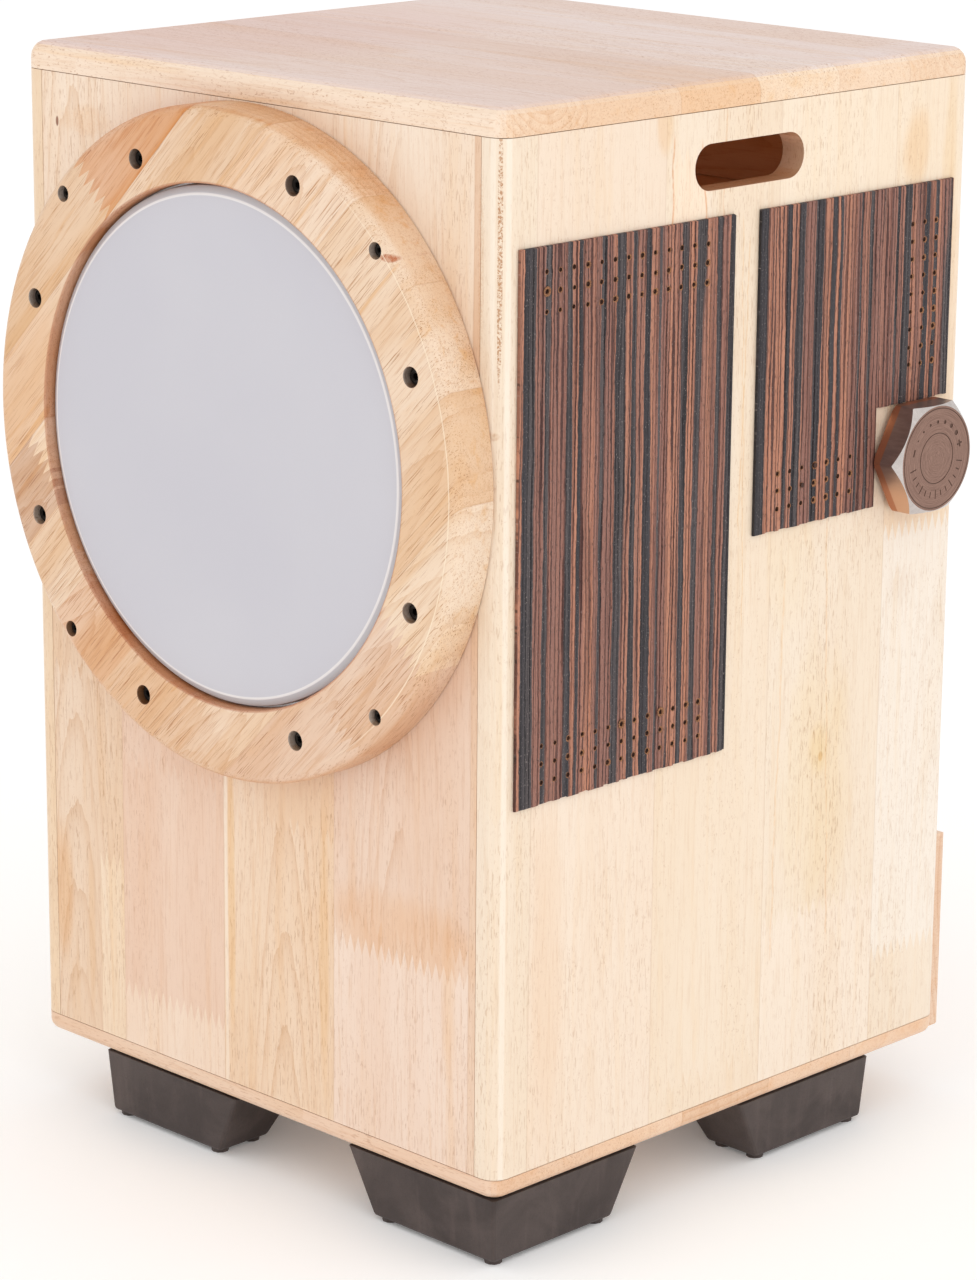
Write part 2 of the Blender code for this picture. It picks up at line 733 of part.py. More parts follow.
def foot_screw_centres():
    """Foot screw centres, at the bend of each foot."""
    bend = FOOT_WIDTH_TOP / 2
    right = FOOT_RIGHT - bend
    left = FOOT_LEFT + bend
    front = FOOT_FRONT + bend
    back = FOOT_BACK - bend
    return [(right, front), (left, front), (right, back), (left, back)]


def foot_mesh():
    """An L-shaped foot with tapered ends, its outer corner on the origin and its top at z = 0."""
    top = -FIT
    low = -FOOT_H
    leg = FOOT_LEG_TOP
    width = FOOT_WIDTH_TOP
    corners = [(0, 0), (leg, 0), (leg, width), (width, width), (width, leg), (0, leg)]
    plate = outline_mesh("foot", [corners], top - low)
    bm = bmesh.new()
    bm.from_mesh(plate)
    bmesh.ops.translate(bm, vec=(0.0, 0.0, (top + low) / 2), verts=bm.verts)
    drawn_in = ((0.0, FOOT_DRAFT), (width, FOOT_WIDTH_BOTTOM), (leg, FOOT_LEG_BOTTOM))
    for vert in bm.verts:
        if vert.co.z > (top + low) / 2:
            continue
        for axis in (0, 1):
            nearest = min(drawn_in, key=lambda pair: abs(pair[0] - vert.co[axis]))
            vert.co[axis] = nearest[1]
    bmesh.ops.dissolve_limit(bm, angle_limit=0.01, verts=bm.verts, edges=bm.edges)
    edges = [edge for edge in bm.edges if edge.calc_face_angle() > 0.5]
    edges = [edge for edge in edges if min(vert.co.z for vert in edge.verts) < top - 0.001]
    bmesh.ops.bevel(
        bm, geom=edges, offset=0.0015, segments=2, profile=0.5, affect="EDGES", clamp_overlap=True
    )
    return finish_mesh("foot", bm)


def nub_centres():
    """Nub centres under a foot: its outer corner and both corners of each leg's end."""
    near = FOOT_DRAFT + 0.0055
    far = FOOT_LEG_BOTTOM - 0.0055
    across = FOOT_WIDTH_BOTTOM - 0.0055
    return [(near, near), (far, near), (far, across), (near, far), (across, far)]


def make_feet():
    """Four feet alike, turned so that each one's outer corner points out, and their screws."""
    blank = bpy.data.objects.new("foot_blank", foot_mesh())
    CUTTERS.objects.link(blank)
    nubs_mesh = pins_mesh("nubs", nub_centres(), NUB_R, -FOOT_H - NUB_H, -0.027, 10)
    nubs = bpy.data.objects.new("nubs", nubs_mesh)
    bend = FOOT_WIDTH_TOP / 2
    bore_mesh = pins_mesh("foot_bore", [(bend, bend)], 0.005, -0.040, -0.014, 12)
    bore = bpy.data.objects.new("foot_bore", bore_mesh)
    hole_mesh = pins_mesh("foot_hole", [(bend, bend)], 0.0025, -0.020, 0.010, 8)
    hole = bpy.data.objects.new("foot_hole", hole_mesh)
    for tool, operation in ((nubs, "UNION"), (bore, "DIFFERENCE"), (hole, "DIFFERENCE")):
        CUTTERS.objects.link(tool)
        combine(blank, tool, operation)
    mesh = evaluated_mesh(blank, "foot")
    shade(mesh)
    for tool in (blank, nubs, bore, hole):
        bpy.data.objects.remove(tool, do_unlink=True)
    corners = (
        ("front_right", FOOT_RIGHT, FOOT_FRONT, math.pi / 2),
        ("front_left", FOOT_LEFT, FOOT_FRONT, 0.0),
        ("back_right", FOOT_RIGHT, FOOT_BACK, math.pi),
        ("back_left", FOOT_LEFT, FOOT_BACK, -math.pi / 2),
    )
    screw = cap_screw_mesh("foot_screw", 0.0042, 0.0032, 0.0020, 0.0205, 0.0030)
    for (name, x, y, turn), (screw_x, screw_y) in zip(corners, foot_screw_centres()):
        place("foot_" + name, mesh, FOOT_PLASTIC, (x, y, 0.0), (0.0, 0.0, turn))
        under_head = (screw_x, screw_y, -0.014 - FIT)
        place("foot_screw_" + name, screw, BLACK_STEEL, under_head, (math.pi, 0.0, 0.0))


make_seat()
make_base()
make_sides()
make_drum_panel()
make_back()
make_frame()
make_clamp_ring()
make_drum_head()
make_ring_screws()
make_plates()
make_dial()
make_snare_board()
make_snare_fan("snare_fan_left", -0.053)
make_snare_fan("snare_fan_right", 0.037)
make_feet()
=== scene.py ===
"""Looks, light and camera for the cajon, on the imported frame."""

import math
import random

import bmesh
import bpy
from mathutils import Matrix, Vector


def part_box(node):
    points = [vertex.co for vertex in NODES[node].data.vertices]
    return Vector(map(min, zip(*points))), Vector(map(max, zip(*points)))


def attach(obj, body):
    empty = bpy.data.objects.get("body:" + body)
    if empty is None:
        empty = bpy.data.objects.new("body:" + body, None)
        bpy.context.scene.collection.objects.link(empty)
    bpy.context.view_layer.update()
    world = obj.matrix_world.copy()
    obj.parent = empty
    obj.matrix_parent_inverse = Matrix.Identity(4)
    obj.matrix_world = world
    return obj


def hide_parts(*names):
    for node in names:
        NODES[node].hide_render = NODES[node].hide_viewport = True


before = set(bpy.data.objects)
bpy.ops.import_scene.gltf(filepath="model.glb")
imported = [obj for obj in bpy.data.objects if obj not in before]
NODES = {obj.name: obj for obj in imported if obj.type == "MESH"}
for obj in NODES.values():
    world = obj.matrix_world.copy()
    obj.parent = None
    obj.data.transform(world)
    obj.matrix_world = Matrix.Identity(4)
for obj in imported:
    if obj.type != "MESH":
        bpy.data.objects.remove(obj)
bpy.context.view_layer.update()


# ---- measures

def middle(node):
    """Middle of a CAD node's box."""
    low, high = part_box(node)
    return (Vector(low) + Vector(high)) / 2


PANEL_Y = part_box("drum_panel")[0][1]
RING_FRONT = PANEL_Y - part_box("clamp_ring")[0][1]
RING_R = (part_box("clamp_ring")[1][0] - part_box("clamp_ring")[0][0]) / 2
DRUM = Vector((middle("clamp_ring").x, PANEL_Y, middle("clamp_ring").z))
HEAD_FRONT = PANEL_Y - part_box("drum_head")[0][1]
SIDE_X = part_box("right_panel")[1][0]
DIAL = middle("dial_shaft")


# ---- shader nodes

class Shader:
    """The node tree of a material or a world, with short calls for its nodes."""

    def __init__(self, name, owners=bpy.data.materials, main="Principled BSDF"):
        self.owner = owners.new(name)
        self.owner.use_nodes = True
        self.tree = self.owner.node_tree
        self.main = self.tree.nodes[main]

    def add(self, kind, values=None, **settings):
        """Adds a node; a value that is a socket is linked, any other is set."""
        node = self.tree.nodes.new(kind)
        for key, value in settings.items():
            setattr(node, key, value)
        for key, value in (values or {}).items():
            self.put(node.inputs[key], value)
        return node

    def put(self, socket, value):
        """Links or sets one input."""
        if isinstance(value, bpy.types.NodeSocket):
            self.tree.links.new(value, socket)
        else:
            socket.default_value = value

    def math(self, operation, a, b=0, c=0, clamp=False):
        """A Math node's result."""
        node = self.add("ShaderNodeMath", {0: a, 1: b, 2: c}, operation=operation)
        node.use_clamp = clamp
        return node.outputs[0]

    def times(self, a, b, clamp=False):
        """a times b."""
        return self.math("MULTIPLY", a, b, clamp=clamp)

    def scaled(self, a, b, c, clamp=False):
        """a times b, plus c."""
        return self.math("MULTIPLY_ADD", a, b, c, clamp)

    def plus(self, a, b):
        """a plus b."""
        return self.math("ADD", a, b)

    def minus(self, a, b):
        """a minus b."""
        return self.math("SUBTRACT", a, b)

    def within(self, value, low, high):
        """1 between low and high, else 0."""
        return self.times(self.math("GREATER_THAN", value, low), self.math("LESS_THAN", value, high))

    def about(self, centre, across, up):
        """Distance from a centre along two axes of the row frame, and in their plane."""
        parts = self.split(self.place())
        x = self.minus(parts[across], centre[across])
        y = self.minus(parts[up], centre[up])
        return x, y, self.math("SQRT", self.plus(self.math("POWER", x, 2), self.math("POWER", y, 2)))

    def ramp(self, value, low, high, start=0, end=1):
        """A smooth step of value from low to high."""
        node = self.add(
            "ShaderNodeMapRange",
            {"Value": value, "From Min": low, "From Max": high, "To Min": start, "To Max": end},
            interpolation_type="SMOOTHSTEP",
        )
        return node.outputs["Result"]

    def mix(self, factor, a, b, blend="MIX"):
        """A colour mix."""
        node = self.add("ShaderNodeMix", data_type="RGBA", blend_type=blend)
        self.put(node.inputs[0], factor)
        self.put(node.inputs[6], rgba(a))
        self.put(node.inputs[7], rgba(b))
        return node.outputs[2]

    def veil(self, colour, over, value, low, high, share):
        """A colour with a share of another laid over it where value steps from low to high."""
        return self.mix(self.times(self.ramp(value, low, high), share), colour, over)

    def join(self, x, y, z):
        """A vector from three values."""
        return self.add("ShaderNodeCombineXYZ", {0: x, 1: y, 2: z}).outputs[0]

    def split(self, vector):
        """The three values of a vector."""
        return self.add("ShaderNodeSeparateXYZ", {0: vector}).outputs

    def place(self):
        """Where the surface point is, in the row frame."""
        return self.add("ShaderNodeTexCoord").outputs["Object"]

    def facing(self, axis):
        """How squarely the surface faces along an axis, 0 to 1."""
        normal = self.split(self.add("ShaderNodeNewGeometry").outputs["Normal"])
        return self.math("ABSOLUTE", normal[axis])

    def noise(self, vector, scale, detail=3, rough=0.55, warp=0):
        """A noise value about 0.5."""
        node = self.add("ShaderNodeTexNoise", {"Vector": vector, "Scale": scale, "Detail": detail,
                                               "Roughness": rough, "Distortion": warp})
        return node.outputs[0]

    def stretch(self, vector, x, y, z):
        """A vector scaled along its three axes."""
        return self.add(
            "ShaderNodeVectorMath", {0: vector, 1: (x, y, z)}, operation="MULTIPLY"
        ).outputs[0]

    def fibres(self, vector, scales, detail, rough, warp=0):
        """A noise value drawn out along the axes with the small scales."""
        return self.noise(self.stretch(vector, *scales), 1, detail, rough, warp)

    def shift(self, vector, by):
        """A vector moved by another."""
        return self.add("ShaderNodeVectorMath", {0: vector, 1: by}, operation="ADD").outputs[0]

    def chance(self, vector):
        """A random value and a random colour for a vector."""
        node = self.add("ShaderNodeTexWhiteNoise", {"Vector": vector}, noise_dimensions="3D")
        return node.outputs["Value"], self.split(node.outputs["Color"]), node.outputs["Color"]

    def bump(self, height, distance, strength=1):
        """A bumped normal; distance is the relief in metres."""
        values = {"Height": height, "Distance": distance, "Strength": strength}
        return self.add("ShaderNodeBump", values).outputs[0]

    def finish(self, colour, roughness, normal=None, **fixed):
        """Joins colour, roughness and normal to the shader and sets what is uniform."""
        self.put(self.main.inputs["Base Color"], rgba(colour))
        self.put(self.main.inputs["Roughness"], roughness)
        if normal is not None:
            self.put(self.main.inputs["Normal"], normal)
        for key, value in fixed.items():
            self.main.inputs[key.replace("_", " ")].default_value = value
        return self.owner


def rgba(colour):
    """Adds alpha to a plain colour."""
    if isinstance(colour, tuple) and len(colour) == 3:
        return (*colour, 1)
    return colour


def srgb(red, green, blue):
    """A linear colour from 0 to 255 display values."""
    def linear(value):
        value /= 255
        return value / 12.92 if value <= 0.04045 else ((value + 0.055) / 1.055) ** 2.4
    return (linear(red), linear(green), linear(blue))


# ---- wood

def even(low, high, count):
    """Evenly spaced stave edges."""
    return [low + (high - low) * i / count for i in range(1, count)]


def wood(name, axes, tones, edges, seed, block=0.34, turn=0, cells=(), figure=0.5,
         pores=0.5, contrast=1, streak=0.5, speckle=0.15, knots=0.3, gloss=0.42,
         edge_tone=(0.93, 0.8, 0.66), pore_run=170, pore_pitch=1600, marks=()):
    """Solid wood glued up from staves with finger joints.

    axes gives the row-frame axes that run across the staves, along the grain and
    through the board; edges are the places of the glue lines along the first. tones
    are the colours that the blocks are mixed from, and cells gives some blocks a colour
    of their own, as (across from, to, along from, to, colour). Both are in display
    values. A stain may stand among the cells, under the ones that follow it.
    """
    s = Shader(name)
    place = s.place()
    if turn:
        place = s.add(
            "ShaderNodeVectorRotate",
            {"Vector": place, "Center": tuple(DRUM), "Angle": turn},
            rotation_type="Y_AXIS",
        ).outputs[0]
    parts = s.split(place)
    u, v, w = (parts["XYZ".index(axis)] for axis in axes)

    # Staves across the board and finger-jointed blocks along them.
    drift = s.minus(s.noise(place, 3, 1), 0.5)
    across = s.scaled(drift, 0.003, u)
    half = (edges[-1] - edges[0]) / (len(edges) - 1) / 2 if len(edges) > 1 else 0.05
    middles = [edges[0] - half]
    middles += [(low + high) / 2 for low, high in zip(edges, edges[1:])] + [edges[-1] + half]
    column, centre, near = 0, middles[0], 1
    for edge, low, high in zip(edges, middles, middles[1:]):
        past = s.math("GREATER_THAN", across, edge)
        column = s.plus(column, past)
        centre = s.scaled(past, high - low, centre)
        near = s.math("MINIMUM", near, s.math("ABSOLUTE", s.minus(across, edge)))
    drawn, _, _ = s.chance(s.join(column, seed, 3.7))
    tooth = s.scaled(s.math("PINGPONG", u, 0.0024), 3.6, v)
    along = s.math("DIVIDE", s.scaled(drawn, block * 3.1, tooth), block)
    row = s.math("FLOOR", along)
    value, three, offset = s.chance(s.join(column, row, seed))
    shade, hue, kind = three[0], three[1], three[2]

    # Every block has grain of its own.
    grain = s.shift(s.join(u, v, w), s.stretch(offset, 7, 7, 7))
    slow, warm, mid, fine, dash, fleck = (
        s.fibres(grain, (thin, long, thin), detail, rough, warp)
        for thin, long, detail, rough, warp in (
            (20, 2.2, 4, 0.55, 0.5), (34, 5, 4, 0.6, 0.8), (150, 6, 4, 0.62, 0.35),
            (800, 30, 3, 0.6, 0), (pore_pitch, pore_run, 2, 0.5, 0),
            (1000, 520, 3, 0.6, 0),
        )
    )

    # Growth rings: nested arches in some of the blocks.
    reach = s.minus(across, s.scaled(hue, 0.024, s.minus(centre, 0.012)))
    bow = s.math("POWER", s.math("DIVIDE", reach, 0.0125), 2)
    climb = s.times(v, s.scaled(value, 14, 16))
    ripple = s.plus(s.scaled(slow, 2.4, bow), climb)
    ripple = s.scaled(mid, 0.5, ripple)
    arch = s.math("POWER", s.math("FRACT", ripple), 4)
    arch = s.times(arch, s.ramp(s.math("ABSOLUTE", reach), 0.038, 0.012))
    arch = s.times(arch, s.ramp(kind, 0.52, 0.6))
    arch = s.times(arch, s.ramp(warm, 0.3, 0.55))

    # Colour of the block, then what the grain does to it.
    pale, tone, deep = (srgb(*each) for each in tones)
    colour = s.mix(s.ramp(shade, 0.1, 0.8), pale, tone)
    colour = s.veil(colour, deep, value, 0.7, 0.98, 0.45)
    for cell in cells:
        if callable(cell):
            colour = cell(s, s.place(), colour)
            continue
        low, high, start, end, own = cell
        inside = s.times(s.within(across, low, high), s.within(tooth, start, end))
        colour = s.mix(inside, colour, srgb(*own))
    dark, orange, tan = (
        s.mix(1, colour, tint, "MULTIPLY")
        for tint in ((0.82, 0.67, 0.52), (0.97, 0.86, 0.68), (0.62, 0.44, 0.31))
    )
    light = s.mix(0.55, colour, (1, 0.96, 0.88))
    colour = s.veil(colour, light, slow, 0.36, 0.66, 0.4 * contrast)
    colour = s.veil(colour, orange, warm, 0.5, 0.76, 0.75 * streak * contrast)
    colour = s.veil(colour, orange, mid, 0.52, 0.74, streak * contrast)
    colour = s.mix(s.times(arch, 0.75 * figure * contrast, clamp=True), colour, dark)
    colour = s.veil(colour, dark, fine, 0.5, 0.7, 0.34 * contrast)
    patchy = s.scaled(s.ramp(warm, 0.35, 0.65), 0.7, 0.3)
    open_pores = s.times(s.ramp(dash, 0.585, 0.665), patchy)
    share = s.times(open_pores, s.scaled(hue, 0.35, 0.55 * pores))
    colour = s.mix(s.times(share, 1, clamp=True), colour, tan)
    dots = s.times(s.ramp(fleck, 0.6, 0.68), s.times(patchy, speckle))
    colour = s.mix(dots, colour, tan)

    # Fine glue lines between the staves.
    seam = s.times(s.ramp(near, 0.0005, 0.0001), 0.22)
    colour = s.mix(seam, colour, tan)

    # A few small pin knots.
    knot = s.add("ShaderNodeTexVoronoi", {"Vector": s.stretch(grain, 9, 7, 9), "Scale": 1})
    spot = s.times(s.ramp(knot.outputs["Distance"], 0.022, 0.01), knots)
    halo = s.times(s.ramp(knot.outputs["Distance"], 0.12, 0.02), knots * 0.4)
    colour = s.mix(halo, colour, tan)
    colour = s.mix(spot, colour, (0.17, 0.075, 0.035))

    # End grain shows specks and the arcs of the rings where the wood is cut across.
    end = s.ramp(s.facing("XYZ".index(axes[1])), 0.55, 0.9)
    speck = s.ramp(s.noise(place, 1150, 2, 0.6), 0.47, 0.66)
    sweep = s.math("POWER", s.plus(w, s.scaled(hue, 0.05, -0.54)), 2)
    sweep = s.plus(sweep, s.math("POWER", reach, 2))
    arcs = s.math("FRACT", s.scaled(slow, 1.5, s.times(s.math("SQRT", sweep), 260)))
    arcs = s.times(s.math("POWER", arcs, 3), s.ramp(kind, 0.3, 0.9))
    end_colour = s.mix(1, colour, edge_tone, "MULTIPLY")
    end_dark = s.mix(1, end_colour, (0.84, 0.64, 0.46), "MULTIPLY")
    end_colour = s.mix(s.times(speck, 0.16), end_colour, end_dark)
    end_colour = s.mix(s.times(arcs, 0.6), end_colour, end_dark)
    colour = s.mix(end, colour, end_colour)

    for mark in marks:
        colour = mark(s, s.place(), colour)

    coarse = s.scaled(fine, 0.16, gloss - 0.08)
    rough = s.scaled(open_pores, 0.16, coarse, clamp=True)
    relief = s.plus(s.times(fine, 0.35), s.times(mid, 0.4))
    for cut, depth in ((open_pores, 0.6), (seam, 1.5), (spot, 1.2), (s.times(end, speck), 0.4)):
        relief = s.minus(relief, s.times(cut, depth))
    normal = s.bump(relief, 0.00009, 0.7)
    return s.finish(colour, rough, normal, Coat_Weight=0.12, Coat_Roughness=0.28,
                    Specular_IOR_Level=0.42)


def patch(centre, size, colour, strength, soft=0.5, ragged=0.9, speckle=0, blend="MULTIPLY"):
    """A soft-edged patch about a point in the row frame, for wood's marks: real stains, and also painted
    highlights and painted shade.

    A size of 0 along an axis leaves that axis out.
    """
    def paint(s, place, base):
        parts = s.split(place)
        wave = s.minus(s.noise(s.stretch(place, 1, 1, 0.25), 90, 4), 0.5)
        total = s.times(wave, ragged)
        for part, at, half in zip(parts, centre, size):
            if half:
                way = s.math("DIVIDE", s.minus(part, at), half)
                total = s.plus(total, s.math("POWER", s.math("ABSOLUTE", way), 2))
        mask = s.times(s.ramp(total, 1, 1 - soft), strength)
        if speckle:
            dots = s.ramp(s.noise(place, 900, 3, 0.7), 0.42, 0.6)
            mask = s.times(mask, s.scaled(dots, speckle, 1 - speckle))
        return s.mix(mask, base, colour, blend)
    return paint


def vein(axis, at, lean, low, high, width, colour, strength):
    """A thin wavering line that climbs a face from low to high, at a place along an axis."""
    def paint(s, place, base):
        parts = s.split(place)
        wave = s.minus(s.noise(s.join(at * 40, 0, parts[2]), 55, 3, 0.6), 0.5)
        run = s.times(s.minus(parts[2], low), lean)
        line = s.plus(s.scaled(wave, 0.004, at), run)
        off = s.math("ABSOLUTE", s.minus(parts[axis], line))
        mask = s.times(s.ramp(off, width, width * 0.15), strength)
        mask = s.times(mask, s.ramp(parts[2], low - 0.004, low + 0.004))
        mask = s.times(mask, s.ramp(parts[2], high + 0.004, high - 0.004))
        mask = s.times(mask, s.ramp(s.noise(place, 260, 2), 0.32, 0.55, 0.4, 1))
        return s.mix(mask, base, colour, "MULTIPLY")
    return paint


def shaded_face(axis, tint):
    """Painted shade: a darker, cooler tint on the faces that look along an axis."""
    def paint(s, place, base):
        mask = s.ramp(s.facing(axis), 0.72, 0.97)
        return s.mix(mask, base, tint, "MULTIPLY")
    return paint


def slot_wall_shade(tint):
    """Painted shade: a darker tint on the walls of the handle slots."""
    def paint(s, place, base):
        parts = s.split(place)
        off = s.math("ABSOLUTE", s.minus(parts[1], middle("right_panel").y))
        inside = s.math("LESS_THAN", off, 0.0358)
        inside = s.times(inside, s.within(parts[2], SLOT_MIDDLE - 0.0108, SLOT_MIDDLE + 0.0108))
        inside = s.times(inside, s.ramp(s.facing(0), 0.7, 0.3))
        return s.mix(inside, base, tint, "MULTIPLY")
    return paint


def ring_edge_highlight(radius, width, colour, strength, side):
    """A fine ragged pale line round the drum's centre, strongest towards one side: a painted highlight
    along the start of the ring's round-over, on its lit side.
    """
    def paint(s, place, base):
        x, _, reach = s.about(DRUM, 0, 2)
        wave = s.times(s.minus(s.noise(place, 120, 2), 0.5), 0.0006)
        near = s.math("ABSOLUTE", s.minus(s.plus(reach, wave), radius))
        line = s.ramp(near, width, width * 0.3)
        line = s.times(line, s.ramp(s.math("DIVIDE", x, side), 0.35, 0.8))
        return s.mix(s.times(line, strength), base, colour)
    return paint


def bore_shade(radius, tint):
    """Painted shade: a darker tint inside a radius about the drum's centre, for the wall round the head.
    """
    def paint(s, place, base):
        inside = s.ramp(s.about(DRUM, 0, 2)[2], radius, radius - 0.0007)
        return s.mix(inside, base, tint, "MULTIPLY")
    return paint


# ---- other materials

def striped(name):
    """Dark veneer: wavering black and brown stripes, fine dark lines and open pores."""
    s = Shader(name)
    parts = s.split(s.place())
    sway = s.join(0, s.times(parts[1], 60), s.times(parts[2], 22))
    sway = s.minus(s.noise(sway, 1, 2), 0.5)
    jog = s.join(4, s.times(parts[1], 330), s.times(parts[2], 210))
    jog = s.minus(s.noise(jog, 1, 2, 0.6), 0.5)
    across = s.scaled(sway, 0.002, s.scaled(jog, 0.001, parts[1]))
    bent = s.join(0, across, parts[2])
    turns = s.fibres(bent, (1, 70, 0.8), 1, 0.4)
    band = s.math("PINGPONG", s.scaled(across, 190, s.times(turns, 5)), 1)
    tint, depth, thread = (
        s.noise(s.shift(s.stretch(bent, 1, wide, tall), (seed, 0, 0)), 1, 1, 0.4)
        for seed, wide, tall in ((5, 170, 1.6), (9, 120, 4), (3, 1050, 9))
    )
    slip = s.fibres(bent, (1, 260, 6), 2, 0.5)
    hair = s.math("PINGPONG", s.scaled(across, 800, s.times(slip, 4.5)), 1)
    fine = s.fibres(bent, (1, 2300, 60), 3, 0.6)
    dash = s.fibres(bent, (1, 2100, 330), 2, 0.5)
    brown = s.mix(s.ramp(tint, 0.38, 0.64), srgb(190, 131, 105), srgb(150, 106, 93))
    black = s.mix(s.ramp(tint, 0.36, 0.66), srgb(62, 58, 62), srgb(92, 84, 84))
    is_brown = s.ramp(s.scaled(tint, 1.2, band), 0.96, 1.06)
    dark = s.mix(is_brown, srgb(36, 32, 35), srgb(74, 44, 40))
    colour = s.mix(is_brown, black, brown)
    lines = s.times(s.ramp(hair, 0.56, 0.8), s.ramp(depth, 0.3, 0.6, 0.62, 0.96))
    colour = s.mix(lines, colour, dark)
    colour = s.veil(colour, dark, thread, 0.52, 0.62, 0.45)
    colour = s.veil(colour, dark, fine, 0.5, 0.72, 0.4)
    pores = s.ramp(dash, 0.6, 0.68)
    colour = s.mix(s.times(pores, 0.65), colour, (0.014, 0.009, 0.008))
    glint = s.fibres(bent, (1, 2500, 900), 1, 0.5)
    glint = s.times(s.ramp(glint, 0.64, 0.76), s.scaled(is_brown, -0.2, 0.5))
    colour = s.mix(glint, colour, srgb(196, 182, 176))
    rough = s.scaled(fine, 0.22, 0.46)
    relief = s.minus(s.scaled(lines, -0.5, s.times(fine, 0.6)), pores)
    return s.finish(colour, rough, s.bump(relief, 0.00014, 0.8), Specular_IOR_Level=0.3)


def pit_wood(name, dark, light):
    """Torn wood in and round the small pits."""
    s = Shader(name)
    torn = s.noise(s.place(), 2600, 3, 0.7)
    colour = s.mix(s.ramp(torn, 0.42, 0.62), dark, light)
    return s.finish(colour, s.scaled(torn, 0.2, 0.6), s.bump(torn, 0.0002))


def film():
    """Coated film with a fine pale line over the bearing edge and a smooth collar."""
    s = Shader("drum_film_detail")
    _, _, radius = s.about(DRUM, 0, 2)
    grain = s.noise(s.place(), 2400, 2, 0.6)
    cloud = s.noise(s.place(), 9, 2)
    colour = s.mix(s.ramp(cloud, 0.35, 0.65), srgb(199, 197, 204), srgb(202, 200, 206))
    colour = s.veil(colour, srgb(190, 188, 198), grain, 0.4, 0.7, 0.12)
    colour = s.veil(colour, srgb(186, 184, 196), radius, 0.086, 0.004, 0.08)
    line = s.times(s.ramp(radius, 0.1084, 0.1089), s.ramp(radius, 0.11, 0.1095))
    colour = s.mix(s.times(line, 0.8), colour, srgb(240, 236, 234))
    collar = s.ramp(radius, 0.1096, 0.1104)
    colour = s.mix(s.times(collar, 0.6), colour, srgb(200, 204, 208))
    rough = s.scaled(grain, 0.12, s.scaled(collar, -0.12, 0.36))
    return s.finish(colour, rough, s.bump(grain, 0.00002, 0.5), Coat_Weight=0.08,
                    Coat_Roughness=0.2, Specular_IOR_Level=0.45)


def metal(name, colour, roughness, streak=(1, 1, 1), darken=0.8, metallic=1, relief=0.00001):
    """Metal with brushing or mottling drawn out along the streak scales."""
    s = Shader(name)
    place = s.place()
    lines = s.noise(s.stretch(place, *streak), 420, 4, 0.65)
    cloud = s.noise(place, 60, 3)
    dull = tuple(channel * darken for channel in colour)
    tone = s.mix(s.ramp(lines, 0.35, 0.7), dull, colour)
    tone = s.mix(s.times(s.ramp(cloud, 0.5, 0.75), 0.3), tone, dull)
    rough = s.scaled(lines, 0.2, s.scaled(cloud, 0.1, roughness - 0.15), clamp=True)
    return s.finish(tone, rough, s.bump(lines, relief, 0.6), Metallic=metallic)


def knob_face():
    """Turned face of the knob: fine circles about the dial's axis."""
    s = Shader("knob_face")
    y, z, radius = s.about(DIAL, 1, 2)
    angle = s.math("ARCTAN2", z, y)
    turned = s.noise(s.join(s.times(radius, 4200), s.times(angle, 1.5), 0), 1, 3)
    speck = s.noise(s.place(), 1500, 2)
    colour = s.mix(s.ramp(turned, 0.35, 0.65), srgb(132, 102, 90), srgb(160, 128, 114))
    colour = s.veil(colour, srgb(112, 86, 76), speck, 0.5, 0.7, 0.25)
    rough = s.scaled(turned, 0.18, 0.36)
    return s.finish(colour, rough, s.bump(turned, 0.00002, 0.6), Metallic=0.85)


def knob_sides():
    """The knob's flats: smooth dark metal, with a painted reflection of the wood on the lower flats and a
    copper-coloured painted reflection along the back edge.
    """
    s = Shader("knob_flats")
    parts = s.split(s.place())
    lines = s.noise(s.stretch(s.place(), 0.2, 1, 1), 520, 3, 0.6)
    # Painted reflection: the lower flats lighter and copper-coloured, as if they mirrored the wood below.
    low = s.ramp(parts[2], DIAL.z + 0.002, DIAL.z - 0.018)
    colour = s.mix(s.ramp(lines, 0.35, 0.7), srgb(150, 132, 126), srgb(164, 144, 136))
    colour = s.mix(low, colour, srgb(216, 176, 148))
    # Painted reflection: a copper-coloured band along the back edge, as of the wood panel close behind.
    back = s.ramp(s.scaled(lines, 0.0003, parts[0]), KNOB_BACK.x + 0.0044, KNOB_BACK.x + 0.0038)
    colour = s.mix(back, colour, srgb(188, 130, 100))
    rough = s.scaled(lines, 0.08, 0.34)
    return s.finish(colour, rough, s.bump(lines, 0.00001, 0.5), Metallic=0.9)


def moulded():
    """Moulded dark plastic with a faint mottle, as of the feet."""
    s = Shader("foot_moulding")
    place = s.place()
    cloud = s.noise(place, 26, 4, 0.6, 0.6)
    grain = s.noise(place, 1400, 3, 0.6)
    scuff = s.noise(s.stretch(place, 1, 1, 0.35), 120, 4, 0.7)
    band = s.noise(s.stretch(place, 1, 1, 0.12), 95, 3, 0.6)
    colour = s.mix(s.ramp(cloud, 0.35, 0.68), srgb(58, 47, 44), srgb(78, 66, 62))
    colour = s.veil(colour, srgb(94, 80, 75), band, 0.5, 0.7, 0.4)
    colour = s.veil(colour, srgb(46, 40, 39), grain, 0.5, 0.75, 0.3)
    colour = s.veil(colour, srgb(104, 94, 89), scuff, 0.62, 0.78, 0.35)
    rough = s.scaled(grain, 0.22, s.scaled(cloud, -0.1, 0.5))
    relief = s.scaled(cloud, 0.4, grain)
    return s.finish(colour, rough, s.bump(relief, 0.00006, 0.6), Specular_IOR_Level=0.45)


